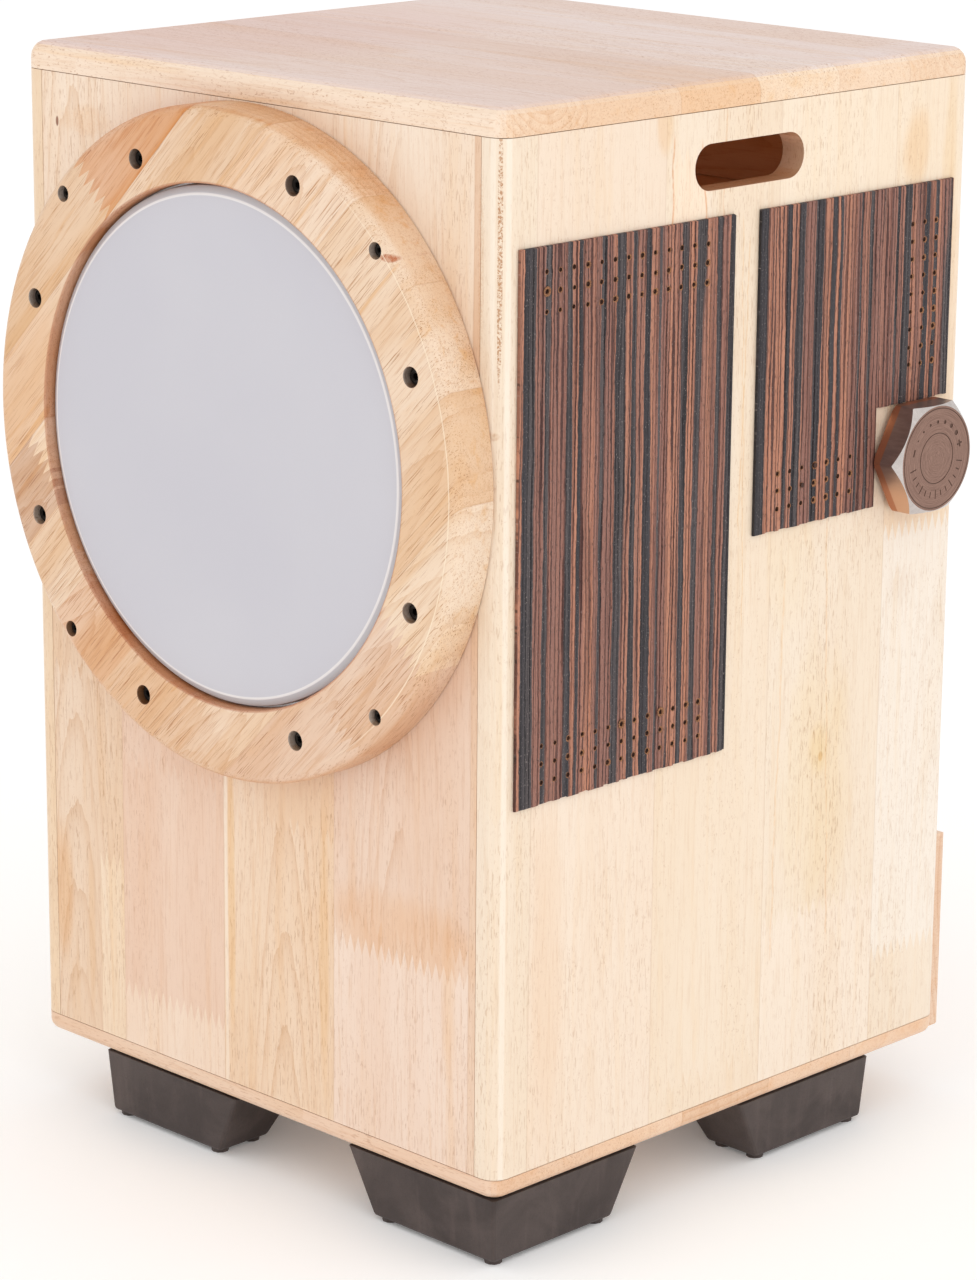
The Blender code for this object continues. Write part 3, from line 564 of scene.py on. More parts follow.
def plastic(name, colour, roughness=0.45):
    """Plain moulded plastic with a fine grain."""
    s = Shader(name)
    grain = s.noise(s.place(), 900, 3)
    shade = tuple(channel * 0.82 for channel in colour)
    tone = s.mix(s.ramp(grain, 0.4, 0.7), colour, shade)
    return s.finish(tone, s.scaled(grain, 0.15, roughness), s.bump(grain, 0.00005, 0.5))


# ---- shapes

def new_object(name, data, *materials):
    """An object for a light, a camera, or a mesh whose points are in the row frame."""
    made = bpy.data.objects.new(name, data)
    for material in materials:
        data.materials.append(material)
    bpy.context.scene.collection.objects.link(made)
    return made


def smooth(mesh, angle=32):
    """Smooth shading up to an angle."""
    mesh.shade_smooth()
    mesh.set_sharp_from_angle(angle=math.radians(angle))


def lathe(name, profile, matrix, steps, closed):
    """Turns a profile of (radius, height) about a matrix's Z axis."""
    bm = bmesh.new()
    turns = [2 * math.pi * i / steps for i in range(steps)]
    rings = []
    for radius, height in profile:
        around = turns if radius > 1e-7 else (0,)
        ring = [(radius * math.cos(turn), radius * math.sin(turn), height) for turn in around]
        rings.append([bm.verts.new(point) for point in ring])
    pairs = list(zip(rings, rings[1:]))
    if closed:
        pairs.append((rings[-1], rings[0]))
    for low, high in pairs:
        for i in range(steps):
            j = (i + 1) % steps
            corners = [low[i % len(low)], low[j % len(low)], high[j % len(high)], high[i % len(high)]]
            loop = list(dict.fromkeys(corners))
            if len(loop) > 2:
                bm.faces.new(loop)
    return sealed(name, bm, matrix)


def sealed(name, bm, matrix=None):
    """A mesh from a bmesh, facing out and in the row frame."""
    bmesh.ops.recalc_face_normals(bm, faces=bm.faces)
    mesh = bpy.data.meshes.new(name)
    bm.to_mesh(mesh)
    bm.free()
    if matrix is not None:
        mesh.transform(matrix)
    smooth(mesh)
    return mesh


def arc(centre, radius, start, end, count):
    """Profile points on an arc, angles in degrees."""
    angles = [math.radians(start + (end - start) * i / count) for i in range(count + 1)]
    return [(centre[0] + radius * math.cos(a), centre[1] + radius * math.sin(a)) for a in angles]


def prisms(items, matrix):
    """Upright prisms: (x, y, radius, low, high, sides, taper) each, as one mesh."""
    bm = bmesh.new()
    for x, y, radius, low, high, sides, taper in items:
        bmesh.ops.create_cone(
            bm, cap_ends=True, segments=sides, radius1=radius * taper, radius2=radius,
            depth=high - low, matrix=Matrix.Translation((x, y, (low + high) / 2)),
        )
    return sealed("tool", bm, matrix)


def carve(target, tool_mesh, material=None, operation="DIFFERENCE"):
    """Applies one exact Boolean; the cut gets the tool's material."""
    if material:
        tool_mesh.materials.append(material)
    tool = bpy.data.objects.new("tool", tool_mesh)
    bpy.context.scene.collection.objects.link(tool)
    boolean = target.modifiers.new("cut", "BOOLEAN")
    boolean.operation = operation
    boolean.solver = "EXACT"
    boolean.object = tool
    boolean.material_mode = "TRANSFER"
    graph = bpy.context.evaluated_depsgraph_get()
    graph.update()
    old = target.data
    target.data = bpy.data.meshes.new_from_object(target.evaluated_get(graph))
    target.modifiers.clear()
    bpy.data.objects.remove(tool, do_unlink=True)
    bpy.data.meshes.remove(old)
    smooth(target.data)


DRUM_MATRIX = Matrix.Translation(DRUM) @ Matrix.Rotation(math.pi / 2, 4, "X")
KNOB_LOW, KNOB_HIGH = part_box("dial_knob")
KNOB_BACK = Vector((KNOB_LOW[0], DIAL.y, DIAL.z))
KNOB_MATRIX = Matrix.Translation(KNOB_BACK) @ Matrix.Rotation(math.pi / 2, 4, "Y")
KNOB_T = KNOB_HIGH[0] - KNOB_LOW[0]
MARKS_R = 0.0167


def make_ring(ring_wood, bore_wood):
    """The clamp ring, turned finely, with its counterbored holes."""
    edge = 0.005
    front = RING_FRONT
    profile = arc((RING_R - edge, front - edge), edge, 90, 0, 9)
    profile += arc((RING_R - 0.0008, 0.0011), 0.0008, 0, -90, 2)
    profile += [(0.1186, 0.0003), (0.1186, front - 0.008), (0.114, front - 0.008)]
    profile += arc((0.1148, front - 0.0008), 0.0008, 180, 90, 3)
    mesh = lathe("ring_turned", profile, DRUM_MATRIX, 192, closed=True)
    ring = new_object("ring_turned", mesh, ring_wood)
    bores, shanks, rims = [], [], []
    for prefix, count, depth, bore, shank, rim, sides in (
        ("tension_screw", 8, 0.007, 0.0042, 0.0025, 0.0049, 32),
        ("mount_screw", 4, 0.005, 0.0034, 0.002, 0.004, 28),
    ):
        for number in range(1, count + 1):
            x, _, z = middle(f"{prefix}_{number}") - DRUM
            bores.append((x, z, bore, front - depth, front + 0.004, sides, 1))
            shanks.append((x, z, shank, -0.005, front - depth + 0.001, 16, 1))
            rims.append((x, z, rim, front - 0.0006, front + 0.0006, sides, 0.82))
    for items in (bores, shanks, rims):
        carve(ring, prisms(items, DRUM_MATRIX), bore_wood)
    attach(ring, "box")
    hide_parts("clamp_ring")


def make_head(material):
    """The film, its collar and skirt, turned finely."""
    top = HEAD_FRONT + 0.0015
    outside = [(radius, top) for radius in (0, 0.03, 0.06, 0.09, 0.1084)]
    outside += [
        (radius, top - drop) for radius, drop in (
            (0.1092, 0.0001), (0.1098, 0.0003), (0.1103, 0.0006), (0.1109, 0.001),
            (0.112, 0.0015), (0.1127, 0.002), (0.113, 0.0028), (0.1131, 0.0038),
        )
    ]
    inside = [(0.1131, 0.007), (0.1127, 0.007)]
    inside += [
        (radius, top - drop) for radius, drop in (
            (0.1127, 0.0029), (0.1119, 0.002), (0.1104, 0.0012), (0.1096, 0.0007),
            (0.1084, 0.0004), (0, 0.0004),
        )
    ]
    mesh = lathe("head_film", outside + inside, DRUM_MATRIX, 192, closed=False)
    head = new_object("head_film", mesh, material)
    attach(head, "box")
    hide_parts("drum_head")


def make_screw(node, name, head_r, head_h, key, material):
    """A ring screw with a rounded head and a hexagon socket."""
    low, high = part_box(node)
    centre = middle(node)
    length = high[1] - low[1]
    shank_r = 0.55 * head_r
    edge = 0.0006
    profile = [(0, 0), (head_r - edge, 0)] + arc((head_r - edge, -edge), edge, 90, 0, 4)
    profile += [(head_r, -head_h), (shank_r, -head_h), (shank_r, edge - length)]
    profile += [(shank_r - edge, -length), (0, -length)]
    matrix = Matrix.Translation((centre.x, low[1], centre.z)) @ Matrix.Rotation(math.pi / 2, 4, "X")
    screw = new_object(name, lathe(name, profile, matrix, 32, closed=False), material)
    socket = [(0, 0, key / math.sqrt(3), -0.6 * head_h, 0.002, 6, 1)]
    socket_rim = [(0, 0, 1.25 * key / math.sqrt(3), -0.0003, 0.0003, 24, 0.85)]
    for items in (socket_rim, socket):
        carve(screw, prisms(items, matrix))
    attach(screw, "box")
    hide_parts(node)


def strip_run(draw, low, high, steps):
    """Strips across a plate: (left, right, kind), dark ones and brown ones by turns."""
    strips = []
    at = low
    dark = False
    while at < high:
        if dark:
            kind = draw.choice((0, 0, 3))
            width = draw.uniform(0.0016, 0.0041)
        else:
            kind = draw.choice((1, 2, 4))
            width = draw.uniform(0.0019, 0.0056)
        end = at + width
        for step in (*steps, high):
            if at < step < end + 0.0012:
                end = step
        strips.append((at, end, kind))
        at = end
        dark = not dark and draw.random() < 0.86
    return strips


def make_plate(name, box, outline, seed, material):
    """A striped plate: one closed skin of narrow strips that differ a little in height.

    outline lists (place, height of the lower edge from there on).
    """
    draw = random.Random(seed)
    low, high = box
    back, front, top = low[0], high[0], high[2]
    steps = [step for step, _ in outline[1:]]
    strips = strip_run(draw, low[1], high[1], steps)
    relief = (0.0002, 0.00008, 0.00002, 0.00024, 0.00006)
    bm = bmesh.new()
    backs = {}
    columns = []
    height, chip = front, 0
    for left, right, kind in strips:
        base = [z for step, z in outline if step <= left + 1e-7][-1]
        if left not in steps:
            height = front - relief[kind] - draw.random() * 0.00006
            chip = max(0, draw.uniform(-0.0002, 0.0005))
        nick = max(0, draw.uniform(-0.0002, 0.0006))
        columns.append((left, right, base, height, nick, chip))

    def back_vert(y, z):
        key = (round(y, 7), round(z, 7))
        if key not in backs:
            backs[key] = bm.verts.new((back, y, z))
        return backs[key]

    def skin(verts):
        loop = list(dict.fromkeys(verts))
        if len(loop) > 2:
            bm.faces.new(loop)

    fronts = []
    for left, right, base, height, nick, chip in columns:
        corners = ((left, base + nick), (right, base + nick), (right, top - chip), (left, top - chip))
        fronts.append([bm.verts.new((height, y, z)) for y, z in corners])
    for index, (left, right, base, *_) in enumerate(columns):
        a, b, c, d = fronts[index]
        after = columns[index + 1] if index + 1 < len(columns) else None
        low_left, low_right = back_vert(left, base), back_vert(right, base)
        top_right, top_left = back_vert(right, top), back_vert(left, top)
        if after and abs(after[2] - base) > 1e-6:
            bend = back_vert(right, after[2])
            lip = fronts[index + 1][0]
            fronts[index + 1][3] = c
            skin((a, b, lip, c, d))
            skin((low_left, low_right, bend, top_right, top_left))
            skin((low_right, b, lip, bend))
        else:
            skin((a, b, c, d))
            skin((low_left, low_right, top_right, top_left))
            if after is None:
                skin((low_right, b, c, top_right))
            else:
                e, f = fronts[index + 1][0], fronts[index + 1][3]
                skin((b, c, f, e))
                skin((low_right, b, e))
                skin((top_right, f, c))
        if index == 0:
            skin((low_left, a, d, top_left))
        skin((low_left, low_right, b, a))
        skin((top_left, d, c, top_right))
    loose = [vert for vert in bm.verts if not vert.link_faces]
    bmesh.ops.delete(bm, geom=loose, context="VERTS")
    return new_object(name, sealed(name, bm), material), draw


def grid(y_low, y_high, columns, z_high, z_low, rows):
    """Places of a grid of pits."""
    return [
        (y_low + (y_high - y_low) * i / (columns - 1), z_high + (z_low - z_high) * j / (rows - 1))
        for i in range(columns) for j in range(rows)
    ]


def finish_plate(plate, pits, draw, node):
    matrix = Matrix.Translation((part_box(node)[1][0], 0, 0)) @ Matrix(
        ((0, 0, 1, 0), (1, 0, 0, 0), (0, 1, 0, 0), (0, 0, 0, 1))
    )
    rims = []
    holes = []
    for y, z in pits:
        y += draw.uniform(-0.00022, 0.00022)
        z += draw.uniform(-0.00022, 0.00022)
        size = draw.uniform(0.00098, 0.00124)
        rims.append((y, z, size * draw.uniform(1.5, 2), -0.0004, 0.00015, 9, 0.45))
        holes.append((y, z, size, -0.0011, 0.0004, 14, 0.75))
    for items, material in ((rims, PIT_RIM), (holes, PIT_WALL)):
        carve(plate, prisms(items, matrix), material)
    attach(plate, "box")
    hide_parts(node)


def make_plates(material):
    """Both side plates."""
    low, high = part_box("plate_tall")
    y0, y1, top = low[1], high[1], high[2]
    pits = grid(y0 + 0.0156, y1 - 0.0175, 13, top - 0.0106, top - 0.0271, 3)
    pits += grid(y0 + 0.0156, y1 - 0.0175, 13, low[2] + 0.0257, low[2] + 0.0099, 3)
    tall, draw = make_plate("plate_striped_tall", (low, high), [(y0, low[2])], 11, material)
    finish_plate(tall, pits, draw, "plate_tall")
    low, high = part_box("plate_notched")
    y0, y1, top = low[1], high[1], high[2]
    pits = grid(y0 + 0.103, y0 + 0.1194, 3, top - 0.0178, top - 0.0817, 9)
    pits += grid(y0 + 0.0149, y0 + 0.0642, 7, low[2] + 0.0258, low[2] + 0.01, 3)
    outline = [(y0, low[2]), (y0 + 0.0815, top - 0.0987)]
    notched, draw = make_plate("plate_striped_notched", (low, high), outline, 23, material)
    finish_plate(notched, pits, draw, "plate_notched")


def make_knob(face, rim, flats, mark):
    """The hexagonal knob with a turned bevel, a groove, dots and plain signs."""
    corner_r = (KNOB_HIGH[2] - KNOB_LOW[2]) / math.sqrt(3)
    bm = bmesh.new()
    bmesh.ops.create_cone(
        bm, cap_ends=True, segments=6, radius1=corner_r, radius2=corner_r, depth=KNOB_T,
        matrix=Matrix.Translation((0, 0, KNOB_T / 2)),
    )
    upright = [edge for edge in bm.edges
               if abs(edge.verts[0].co.z - edge.verts[1].co.z) > KNOB_T / 2]
    bmesh.ops.bevel(bm, geom=upright, offset=0.0005, segments=2, profile=0.5, affect="EDGES")
    knob = new_object("knob_hex", sealed("knob_hex", bm, KNOB_MATRIX), flats)
    reach = 0.03
    drop = (reach - 0.0241) * math.tan(math.radians(40))
    profile = [(0, KNOB_T), (0.0239, KNOB_T), (0.0241, KNOB_T - 0.00012)]
    profile += [(reach, KNOB_T - drop), (reach, 0.002), (0.0266, 0), (0, 0)]
    carve(knob, lathe("tool", profile, KNOB_MATRIX, 128, closed=False), rim, "INTERSECT")
    carve(knob, prisms([(0, 0, 0.0043, -0.002, 0.01, 24, 1)], KNOB_MATRIX), rim)
    knob.data.materials.append(face)
    for polygon in knob.data.polygons:
        if polygon.normal.x > 0.999 and polygon.center.x > KNOB_BACK.x + KNOB_T - 0.0001:
            polygon.material_index = len(knob.data.materials) - 1
    depth = 0.00025
    above, bottom = KNOB_T + 0.0005, KNOB_T - depth
    for radius in (0.0113, 0.0226):
        wide = radius + 0.0004
        groove = [(radius, above), (radius, bottom), (wide, bottom), (wide, above)]
        carve(knob, lathe("tool", groove, KNOB_MATRIX, 96, closed=True), mark)
    dots = []
    for i in range(7):
        x, y = dial_place(math.radians(-54 + 18 * i), MARKS_R)
        dots.append((x, y, 0.0004 + 0.00013 * i, bottom, above, 20, 1))
    carve(knob, prisms(dots, KNOB_MATRIX), mark)
    for angle, turn in ((-74, 0), (74, 0), (74, 90)):
        bar = bmesh.new()
        add_bar(bar, math.radians(angle), MARKS_R, math.radians(turn), 0.0034, 0.0008, depth)
        carve(knob, sealed("tool", bar, KNOB_MATRIX), mark)
    ticks = bmesh.new()
    for i in range(13):
        angle = math.radians(102 + 13 * i)
        length = 0.0042 if i % 3 == 0 else 0.0026
        add_bar(ticks, angle, MARKS_R, math.radians(90), length, 0.0005, depth)
    carve(knob, sealed("tool", ticks, KNOB_MATRIX), mark)
    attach(knob, "dial")
    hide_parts("dial_knob")


def dial_place(angle, radius):
    """A place on the knob's face, angle clockwise from the top, in the knob's own plane."""
    return (-radius * math.cos(angle), radius * math.sin(angle))


def add_bar(bm, angle, radius, turn, length, width, depth):
    """A short engraved bar at an angle on the knob's face."""
    x, y = dial_place(angle, radius)
    matrix = (
        Matrix.Translation((x, y, KNOB_T))
        @ Matrix.Rotation(math.pi - angle + turn, 4, "Z")
        @ Matrix.Diagonal((width, length, 2 * depth, 1))
    )
    bmesh.ops.create_cube(bm, size=1.0, matrix=matrix)


# ---- materials by node

PALE = (240, 221, 198)
CREAM = (236, 212, 186)
PINK = (232, 200, 174)
TAN = (224, 184, 146)
# Near-white, for the painted highlights along the front corner and for a pale line on the drum face.
NEAR_WHITE = srgb(252, 242, 228)
RUST = (0.6, 0.38, 0.24)
HONEY = (0.96, 0.84, 0.69)
SEAT_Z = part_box("top_panel")[0][2]
SLOT_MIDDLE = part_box("bottom_panel")[0][2] + 0.4318
LEFT_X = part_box("left_panel")[1][0]
TOP_OF_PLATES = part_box("plate_tall")[1][2]


def on_side(y, z, wide, tall, *look):
    """A patch on the face with the knob."""
    return patch((SIDE_X, y, z), (0.004, wide, tall), *look)


def on_front(x, z, wide, tall, *look):
    """A patch on the face with the drum head."""
    return patch((x, PANEL_Y, z), (wide, 0.004, tall), *look)


# Front corner: the first two patches are painted highlights, near-white strips on either side of the
# rounded corner; the others are real stains and specks.
corner_marks_and_highlights = [
    patch((SIDE_X + across, PANEL_Y + along, up), size, *look)
    for across, along, up, size, look in (
        (-0.0006, 0.0045, 0, (0.0022, 0.0016, 0), (NEAR_WHITE, 0.45, 0.9, 0.6, 0, "MIX")),
        (-0.0058, 0.0004, SEAT_Z, (0.0015, 0.0022, 0.24), (NEAR_WHITE, 0.35, 1, 0.9, 0, "MIX")),
        (-0.003, 0.0018, SEAT_Z - 0.045, (0.0011, 0.0014, 0.062), (RUST, 1, 0.4, 0.9, 1)),
        (-0.012, 0, SEAT_Z - 0.05, (0.0022, 0.002, 0.05), ((0.84, 0.68, 0.52), 0.45, 0.9, 0.9, 1)),
        (-0.0055, 0.001, SEAT_Z - 0.122, (0.0045, 0.003, 0.0022), ((0.78, 0.6, 0.44), 0.6, 0.8, 0.9, 0.5)),
    )
]
side_marks = corner_marks_and_highlights + [
    on_side(PANEL_Y + 0.096, SEAT_Z - 0.004, 0.006, 0.016, HONEY, 0.8, 0.8),
    on_side(PANEL_Y + 0.262, SEAT_Z - 0.03, 0.012, 0.022, HONEY, 0.8, 0.9),
    on_side(PANEL_Y + 0.286, SEAT_Z - 0.045, 0.006, 0.06, (0.97, 0.9, 0.78), 0.8, 0.9),
    on_side(PANEL_Y + 0.206, 0.192, 0.008, 0.016, (0.98, 0.92, 0.76), 0.9, 1),
    on_side(PANEL_Y + 0.208, 0.188, 0.002, 0.003, (0.86, 0.7, 0.48), 0.8, 0.8),
    patch((LEFT_X - 0.006, PANEL_Y, 0), (0.0068, 0.004, 0), (0.96, 0.87, 0.76), 0.9, 0.2),
]
side_marks += [
    vein(1, y, lean, low, high, width, tint, share)
    for y, lean, low, high, width, tint, share in (
        (-0.042, 0.00, TOP_OF_PLATES - 0.004, 0.478, 0.0008, (0.86, 0.58, 0.4), 0.9),
        (-0.0205, -0.1, TOP_OF_PLATES - 0.004, 0.474, 0.0008, (0.86, 0.58, 0.4), 0.8),
        (-0.01, 0.02, TOP_OF_PLATES - 0.004, 0.486, 0.0007, (0.9, 0.68, 0.48), 0.6),
        (0.004, 0.03, 0.3, 0.43, 0.0007, (0.94, 0.78, 0.56), 0.6),
        (0.0085, -0.03, 0.26, 0.44, 0.0006, (0.94, 0.78, 0.56), 0.6),
        (0.033, 0.02, 0.1, 0.28, 0.001, (0.95, 0.8, 0.62), 0.6),
        (0.072, -0.04, 0.1, 0.3, 0.0009, (0.95, 0.8, 0.62), 0.6),
    )
]
# Painted shade on the walls of the handle slots.
side_marks.append(slot_wall_shade((0.62, 0.46, 0.38)))
drum_marks = corner_marks_and_highlights + [
    on_front(-0.142, 0.105, 0.009, 0.042, (0.95, 0.8, 0.62), 0.85, 0.9),
    on_front(-0.122, 0.09, 0.003, 0.05, (0.97, 0.88, 0.74), 0.7, 0.9),
    on_front(0.113, 0.12, 0.005, 0.045, (0.97, 0.87, 0.73), 0.7, 1),
    on_front(-0.028, 0, 0.0014, 0, NEAR_WHITE, 0.4, 0.9, 1.6, 0, "MIX"),
    on_front(-0.0245, 0.13, 0.003, 0.09, (0.97, 0.86, 0.66), 0.8, 0.8),
    on_front(0.036, 0.12, 0.004, 0.085, (0.97, 0.86, 0.66), 0.7, 0.8),
    on_front(-0.118, 0.468, 0.02, 0.008, (0.93, 0.8, 0.66), 0.6, 0.8, 1.6, 0.5),
    on_front(-0.136, 0.466, 0.0011, 0.0026, (0.3, 0.14, 0.08), 0.9, 0.6, 0.3),
]
ring_marks = (
    patch((DRUM.x + 0.106, 0, DRUM.z + 0.0965), (0.005, 0, 0.0018), (0.6, 0.26, 0.14),
          1, 0.7, 0.9, 0.4),
    # Painted highlight: a pale line along the start of the ring's round-over, strongest on the right.
    ring_edge_highlight(RING_R - 0.0052, 0.00045, srgb(252, 234, 208), 0.6, RING_R),
    # Painted shade on the wall of the ring's bore.
    bore_shade(0.1152, (0.74, 0.56, 0.5)),
)

side_cells = (
    (-0.1235, -0.0465, 0, 1, (241, 220, 198)),
    (-0.0465, 0.0265, 0, 1, (240, 219, 194)),
    on_side(-0.112, 0.13, 0.012, 0.1, (0.98, 0.92, 0.86), 0.8, 0.9),
    on_side(0.062, 0.175, 0.03, 0.075, (0.99, 0.955, 0.85), 0.9, 0.9, 1.4),
    on_side(0.04, 0.3, 0.02, 0.06, (0.99, 0.96, 0.88), 0.8, 0.9, 1.4),
    (0.0265, 0.1045, 0, 0.121, (243, 225, 205)),
    (0.1045, 0.2, 0.087, 0.289, (243, 230, 215)),
    (0.1045, 0.2, 0.289, 0.43, (241, 216, 187)),
    (0.0265, 0.2, 0.43, 0.5, (243, 223, 198)),
    (-0.042, -0.0205, 0.38, 0.474, (246, 221, 193)),
)
side_wood = wood(
    "side_staves", "YZX", (PALE, CREAM, CREAM), (-0.1235, -0.0465, 0.0265, 0.1045), 4, block=0.31,
    cells=side_cells, figure=0.3, pores=0.35, contrast=0.7, streak=0.45, speckle=0.35,
    marks=side_marks,
)
drum_cells = (
    (-0.2, -0.0985, 0, 0.3, (231, 201, 172)),
    (-0.115, -0.0985, 0, 0.131, (239, 214, 186)),
    (-0.0985, -0.0295, 0.072, 0.3, (231, 197, 172)),
    (-0.0985, -0.0295, 0, 0.072, (238, 211, 187)),
    (-0.0295, 0.0425, 0, 0.3, (234, 202, 170)),
    (0.0425, 0.1255, 0.132, 0.3, (231, 199, 175)),
    on_front(0.084, 0.138, 0.06, 0.024, (0.97, 0.84, 0.68), 0.85, 0.95),
    (0.0425, 0.1255, 0, 0.132, (236, 208, 187)),
    (-0.2, 0.1255, 0.38, 0.5, (241, 218, 195)),
)
drum_wood = wood(
    "drum_staves", "XZY", (CREAM, PINK, TAN), (-0.0985, -0.0295, 0.0425, 0.1255), 9, block=0.4,
    cells=drum_cells, figure=0.8, pores=0.55, contrast=0.95, speckle=0.3, marks=drum_marks,
)
seat_cells = (
    (-0.038, 0.012, 0.1, 0.2, (240, 206, 172)),
    (0.012, 0.064, 0.1, 0.2, (246, 224, 200)),
)
# Painted shade on the seat: a darker patch on the left part of its top, and a darker, cooler tint on its
# upward faces.
seat_shade = patch((-0.12, -0.04, SEAT_Z + 0.012), (0.12, 0.15, 0.004), (0.97, 0.9, 0.9), 0.9, 1, 0.3)
seat_wood = wood(
    "seat_staves", "YXZ", ((244, 219, 194), (241, 213, 186), (232, 196, 162)),
    (-0.095, -0.038, 0.012, 0.064, 0.112), 2, block=0.42, cells=seat_cells, pores=0.4,
    streak=0.6, speckle=0.8, knots=0.15, pore_run=300, edge_tone=(0.98, 0.92, 0.85),
    marks=(shaded_face(2, (0.865, 0.855, 0.99)), seat_shade),
)
base_wood = wood(
    "base_staves", "YXZ", ((240, 208, 182), (234, 198, 170), TAN), even(-0.14, 0.15, 5),
    6, figure=0.4, pores=0.6, contrast=0.9, edge_tone=(0.98, 0.92, 0.84),
)
ring_edges = [DRUM.x + at for at in (-0.114, -0.078, -0.023, 0.022, 0.066, 0.104)]
ring_cells = [
    (DRUM.x + low, DRUM.x + high, DRUM.z + start, DRUM.z + end, own)
    for low, high, start, end, own in (
        (-0.16, -0.114, 0.022, 0.2, (206, 128, 26)),
        (-0.16, -0.114, -0.2, 0.022, (218, 172, 124)),
        (-0.114, -0.078, -0.04, 0.2, (224, 184, 144)),
        (-0.078, -0.023, 0, 0.2, (232, 196, 162)),
        (-0.078, -0.045, -0.2, -0.095, (204, 158, 120)),
        (-0.045, -0.012, -0.2, -0.05, (224, 184, 144)),
        (-0.012, 0.03, -0.2, -0.05, (216, 160, 108)),
        (0.03, 0.104, -0.2, -0.085, (220, 174, 130)),
        (0.104, 0.2, -0.12, 0.04, (222, 182, 150)),
    )
]
ring_wood = wood(
    "ring_staves", "XZY", ((234, 202, 168), (228, 190, 152), (220, 168, 122)),
    ring_edges, 13, block=0.3, turn=math.radians(-45), cells=ring_cells, pores=1.8,
    contrast=1.3, streak=0.7, speckle=0.2, pore_run=48, pore_pitch=2500, marks=ring_marks,
)
pine = ((214, 178, 134), (198, 158, 112), (170, 122, 80))
frame_wood, rail_wood = (
    wood(name, axes, pine, edges, seed, figure=0.7, contrast=1.2, gloss=0.6)
    for name, axes, edges, seed in (
        ("frame_pine", "XZY", even(-0.16, 0.16, 4), 21), ("rail_pine", "ZXY", even(0.04, 0.5, 5), 27),
    )
)
tapa_wood = wood(
    "tapa_veneer", "XZY", ((224, 184, 142), (214, 170, 126), (196, 146, 100)),
    (-0.4, 0.4), 31, block=30, figure=1.1, pores=0.9, contrast=1.3, streak=0.8, speckle=0.4,
    knots=0,
)
rear_wood = wood(
    "rear_board_grain", "ZXY", (CREAM, PINK, TAN), (-0.1, 0.3), 33, block=0.5, figure=0.6,
    pores=0.6, contrast=0.9, edge_tone=(1, 0.97, 0.94),
)
bore_wood = wood(
    "burnt_bore", "XZY", ((120, 84, 54), (96, 64, 40), (70, 44, 28)), (-0.5, 0.5),
    41, contrast=1.3, gloss=0.6,
)

drum_film = film()
black_steel = metal("black_oxide", (0.03, 0.024, 0.02), 0.38, darken=0.6, metallic=0.7)
bright_steel = metal("bright_steel_detail", (0.62, 0.61, 0.6), 0.3, (1, 0.1, 1))
rod_steel = metal("rod_steel", (0.6, 0.6, 0.61), 0.28, (0.05, 1, 1))
hoop_metal = metal("hoop_aluminium", (0.7, 0.7, 0.71), 0.34)
brass = metal("bush_brass_detail", (0.7, 0.5, 0.22), 0.3, (0.1, 1, 1))
knob_rim = metal("knob_rim", srgb(206, 198, 194), 0.22, (0.1, 1, 1), darken=0.88)
knob_flats = knob_sides()
knob_mark = metal("knob_mark", srgb(104, 76, 64), 0.5, metallic=0.4)
cam_plastic = plastic("cam_moulding", (0.8, 0.78, 0.73))
foot_plastic = moulded()

PIT_RIM = pit_wood("pit_rim", srgb(112, 70, 46), srgb(176, 122, 76))
PIT_WALL = pit_wood("pit_wall", srgb(38, 20, 14), srgb(92, 52, 32))
plate_wood = striped("plate_veneer")

BY_NAME = {
    "top_panel": seat_wood, "bottom_panel": base_wood, "left_panel": side_wood,
    "right_panel": side_wood, "drum_panel": drum_wood, "rear_board": rear_wood,
    "tapa": tapa_wood, "batten": frame_wood, "glue_block": frame_wood,
    "bearing_ring": frame_wood, "rail_": rail_wood, "snare_rail": rail_wood,
    "snare_board": rail_wood, "clamp_ring": ring_wood, "drum_head": drum_film,
    "flesh_hoop": hoop_metal, "dial_knob": knob_flats, "dial_shaft": rod_steel,
    "dial_collar": rod_steel, "bush_nut": rod_steel, "pivot_rod": rod_steel,
    "snare_fan": bright_steel, "tee_nut": bright_steel, "dial_bush": brass,
    "snare_cam": cam_plastic, "plate_": plate_wood, "tension_screw": black_steel,
    "mount_screw": black_steel, "foot_screw": black_steel, "foot_": foot_plastic,
}
for node, item in NODES.items():
    start = next(start for start in BY_NAME if node.startswith(start))
    item.data.materials.clear()
    item.data.materials.append(BY_NAME[start])

make_ring(ring_wood, bore_wood)
make_head(drum_film)
for kind, count, head_r, head_h, key in (
    ("tension", 8, 0.0035, 0.004, 0.003), ("mount", 4, 0.0028, 0.0024, 0.002),
):
    for number in range(1, count + 1):
        make_screw(f"{kind}_screw_{number}", f"{kind}_bolt_{number}", head_r, head_h, key, black_steel)
make_plates(plate_wood)
make_knob(knob_face(), knob_rim, knob_flats, knob_mark)


# ---- floor, light, camera

def make_floor():
    """A plain pale floor."""
    s = Shader("floor_paint")
    cloud = s.noise(s.place(), 1.5, 2)
    colour = s.mix(s.ramp(cloud, 0.3, 0.7), (0.96, 0.96, 0.96), (0.97, 0.97, 0.97))
    material = s.finish(colour, 0.7, Specular_IOR_Level=0.1, Emission_Color=(1, 1, 1, 1),
                        Emission_Strength=0.1)
    bm = bmesh.new()
    bmesh.ops.create_grid(bm, x_segments=1, y_segments=1, size=14)
    mesh = bpy.data.meshes.new("floor")
    bm.to_mesh(mesh)
    bm.free()
    floor = new_object("floor", mesh, material)


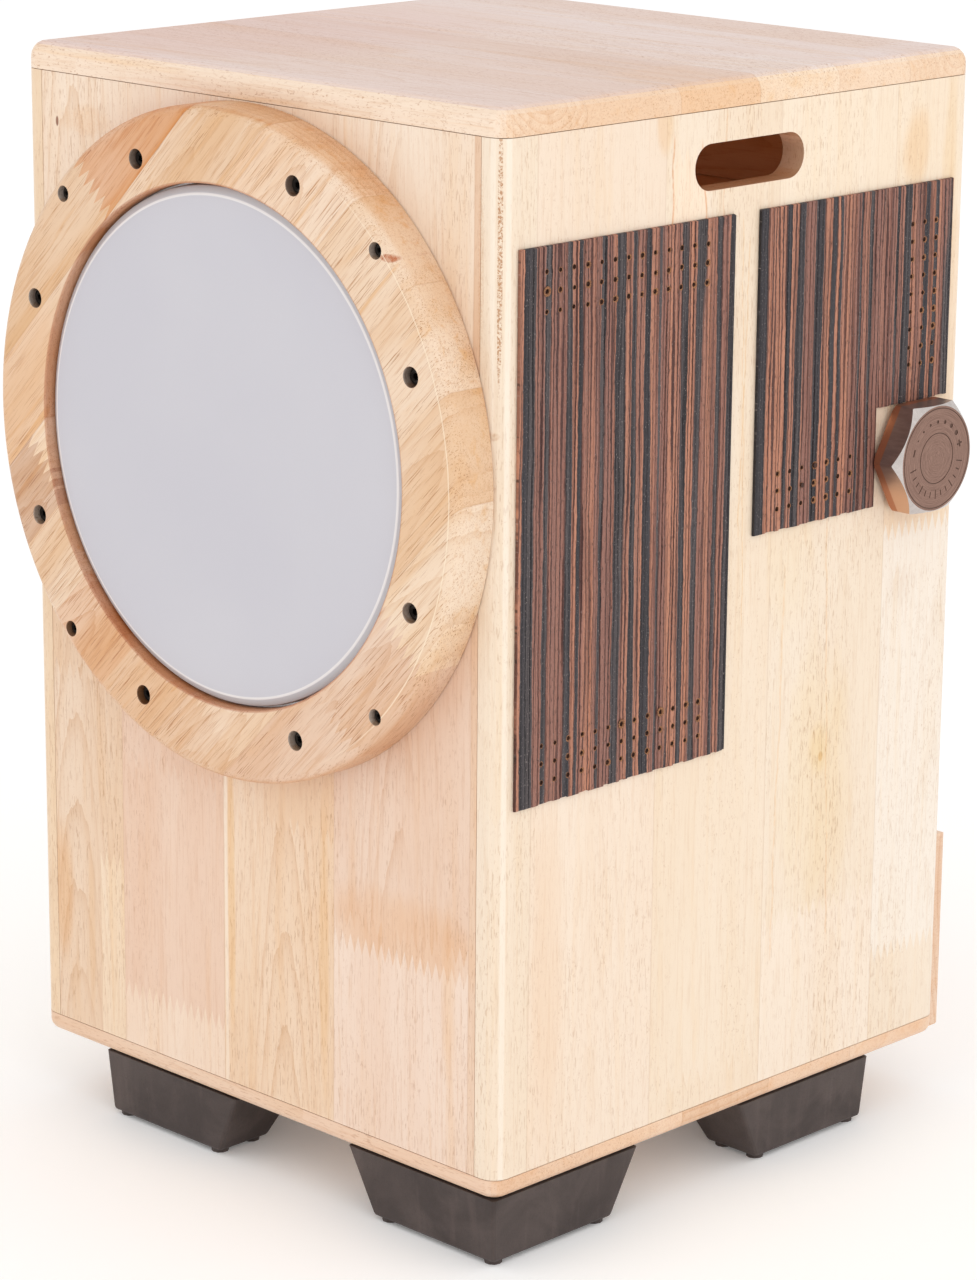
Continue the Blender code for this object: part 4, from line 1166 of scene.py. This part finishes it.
def make_world():
    """White surroundings, a little brighter to the right and in front."""
    s = Shader("studio", bpy.data.worlds, "Background")
    values = {0: s.add("ShaderNodeTexCoord").outputs["Generated"], 1: (0.86, -0.28, 0.3)}
    side = s.add("ShaderNodeVectorMath", values, operation="DOT_PRODUCT").outputs["Value"]
    values = {"Value": side, "From Min": -1, "To Min": 0.8, "To Max": 1.09}
    s.put(s.main.inputs["Strength"], s.add("ShaderNodeMapRange", values).outputs["Result"])
    s.put(s.main.inputs["Color"], (1, 0.992, 0.985, 1))
    bpy.context.scene.world = s.owner


def make_light(name, place, target, size, power, colour=(1, 1, 1)):
    """A soft rectangular light aimed at a point."""
    data = bpy.data.lights.new(name, "AREA")
    data.shape = "RECTANGLE"
    data.size, data.size_y = size
    data.energy = power
    data.color = colour
    light = new_object(name, data)
    light.location = place
    aim = Vector(target) - Vector(place)
    light.rotation_euler = aim.to_track_quat("-Z", "Y").to_euler()


def make_glow():
    """A faint warm light inside the box, for what shows through the handle slots."""
    data = bpy.data.lights.new("glow", "POINT")
    data.energy = 0.16
    data.color = (1, 0.52, 0.34)
    data.shadow_soft_size = 0.03
    new_object("glow", data).location = (-0.03, 0.03, 0.3)


def make_camera():
    """The camera at the photograph's angle."""
    matrix = Matrix.Translation((1.29201, -1.31869, 0.73029))
    for angle, axis in ((44.54, "Z"), (90 - 15.262, "X"), (0.46, "Z")):
        matrix = matrix @ Matrix.Rotation(math.radians(angle), 4, axis)
    data = bpy.data.cameras.new("camera")
    data.sensor_width = 36
    data.lens = 116.69
    data.clip_start = 0.05
    data.clip_end = 60
    camera = new_object("camera", data)
    camera.matrix_world = matrix
    bpy.context.scene.camera = camera


make_floor()
make_world()
make_light("key", (1.7, -0.9, 1.5), (0, 0, 0.3), (1, 1), 3.4, (1, 0.99, 0.975))
make_light("fill", (-1.3, -1.8, 1), (0, 0, 0.25), (1.2, 1.2), 1.5)
make_glow()
make_camera()
settings = bpy.context.scene.view_settings
settings.view_transform, settings.look = "Standard", "None"
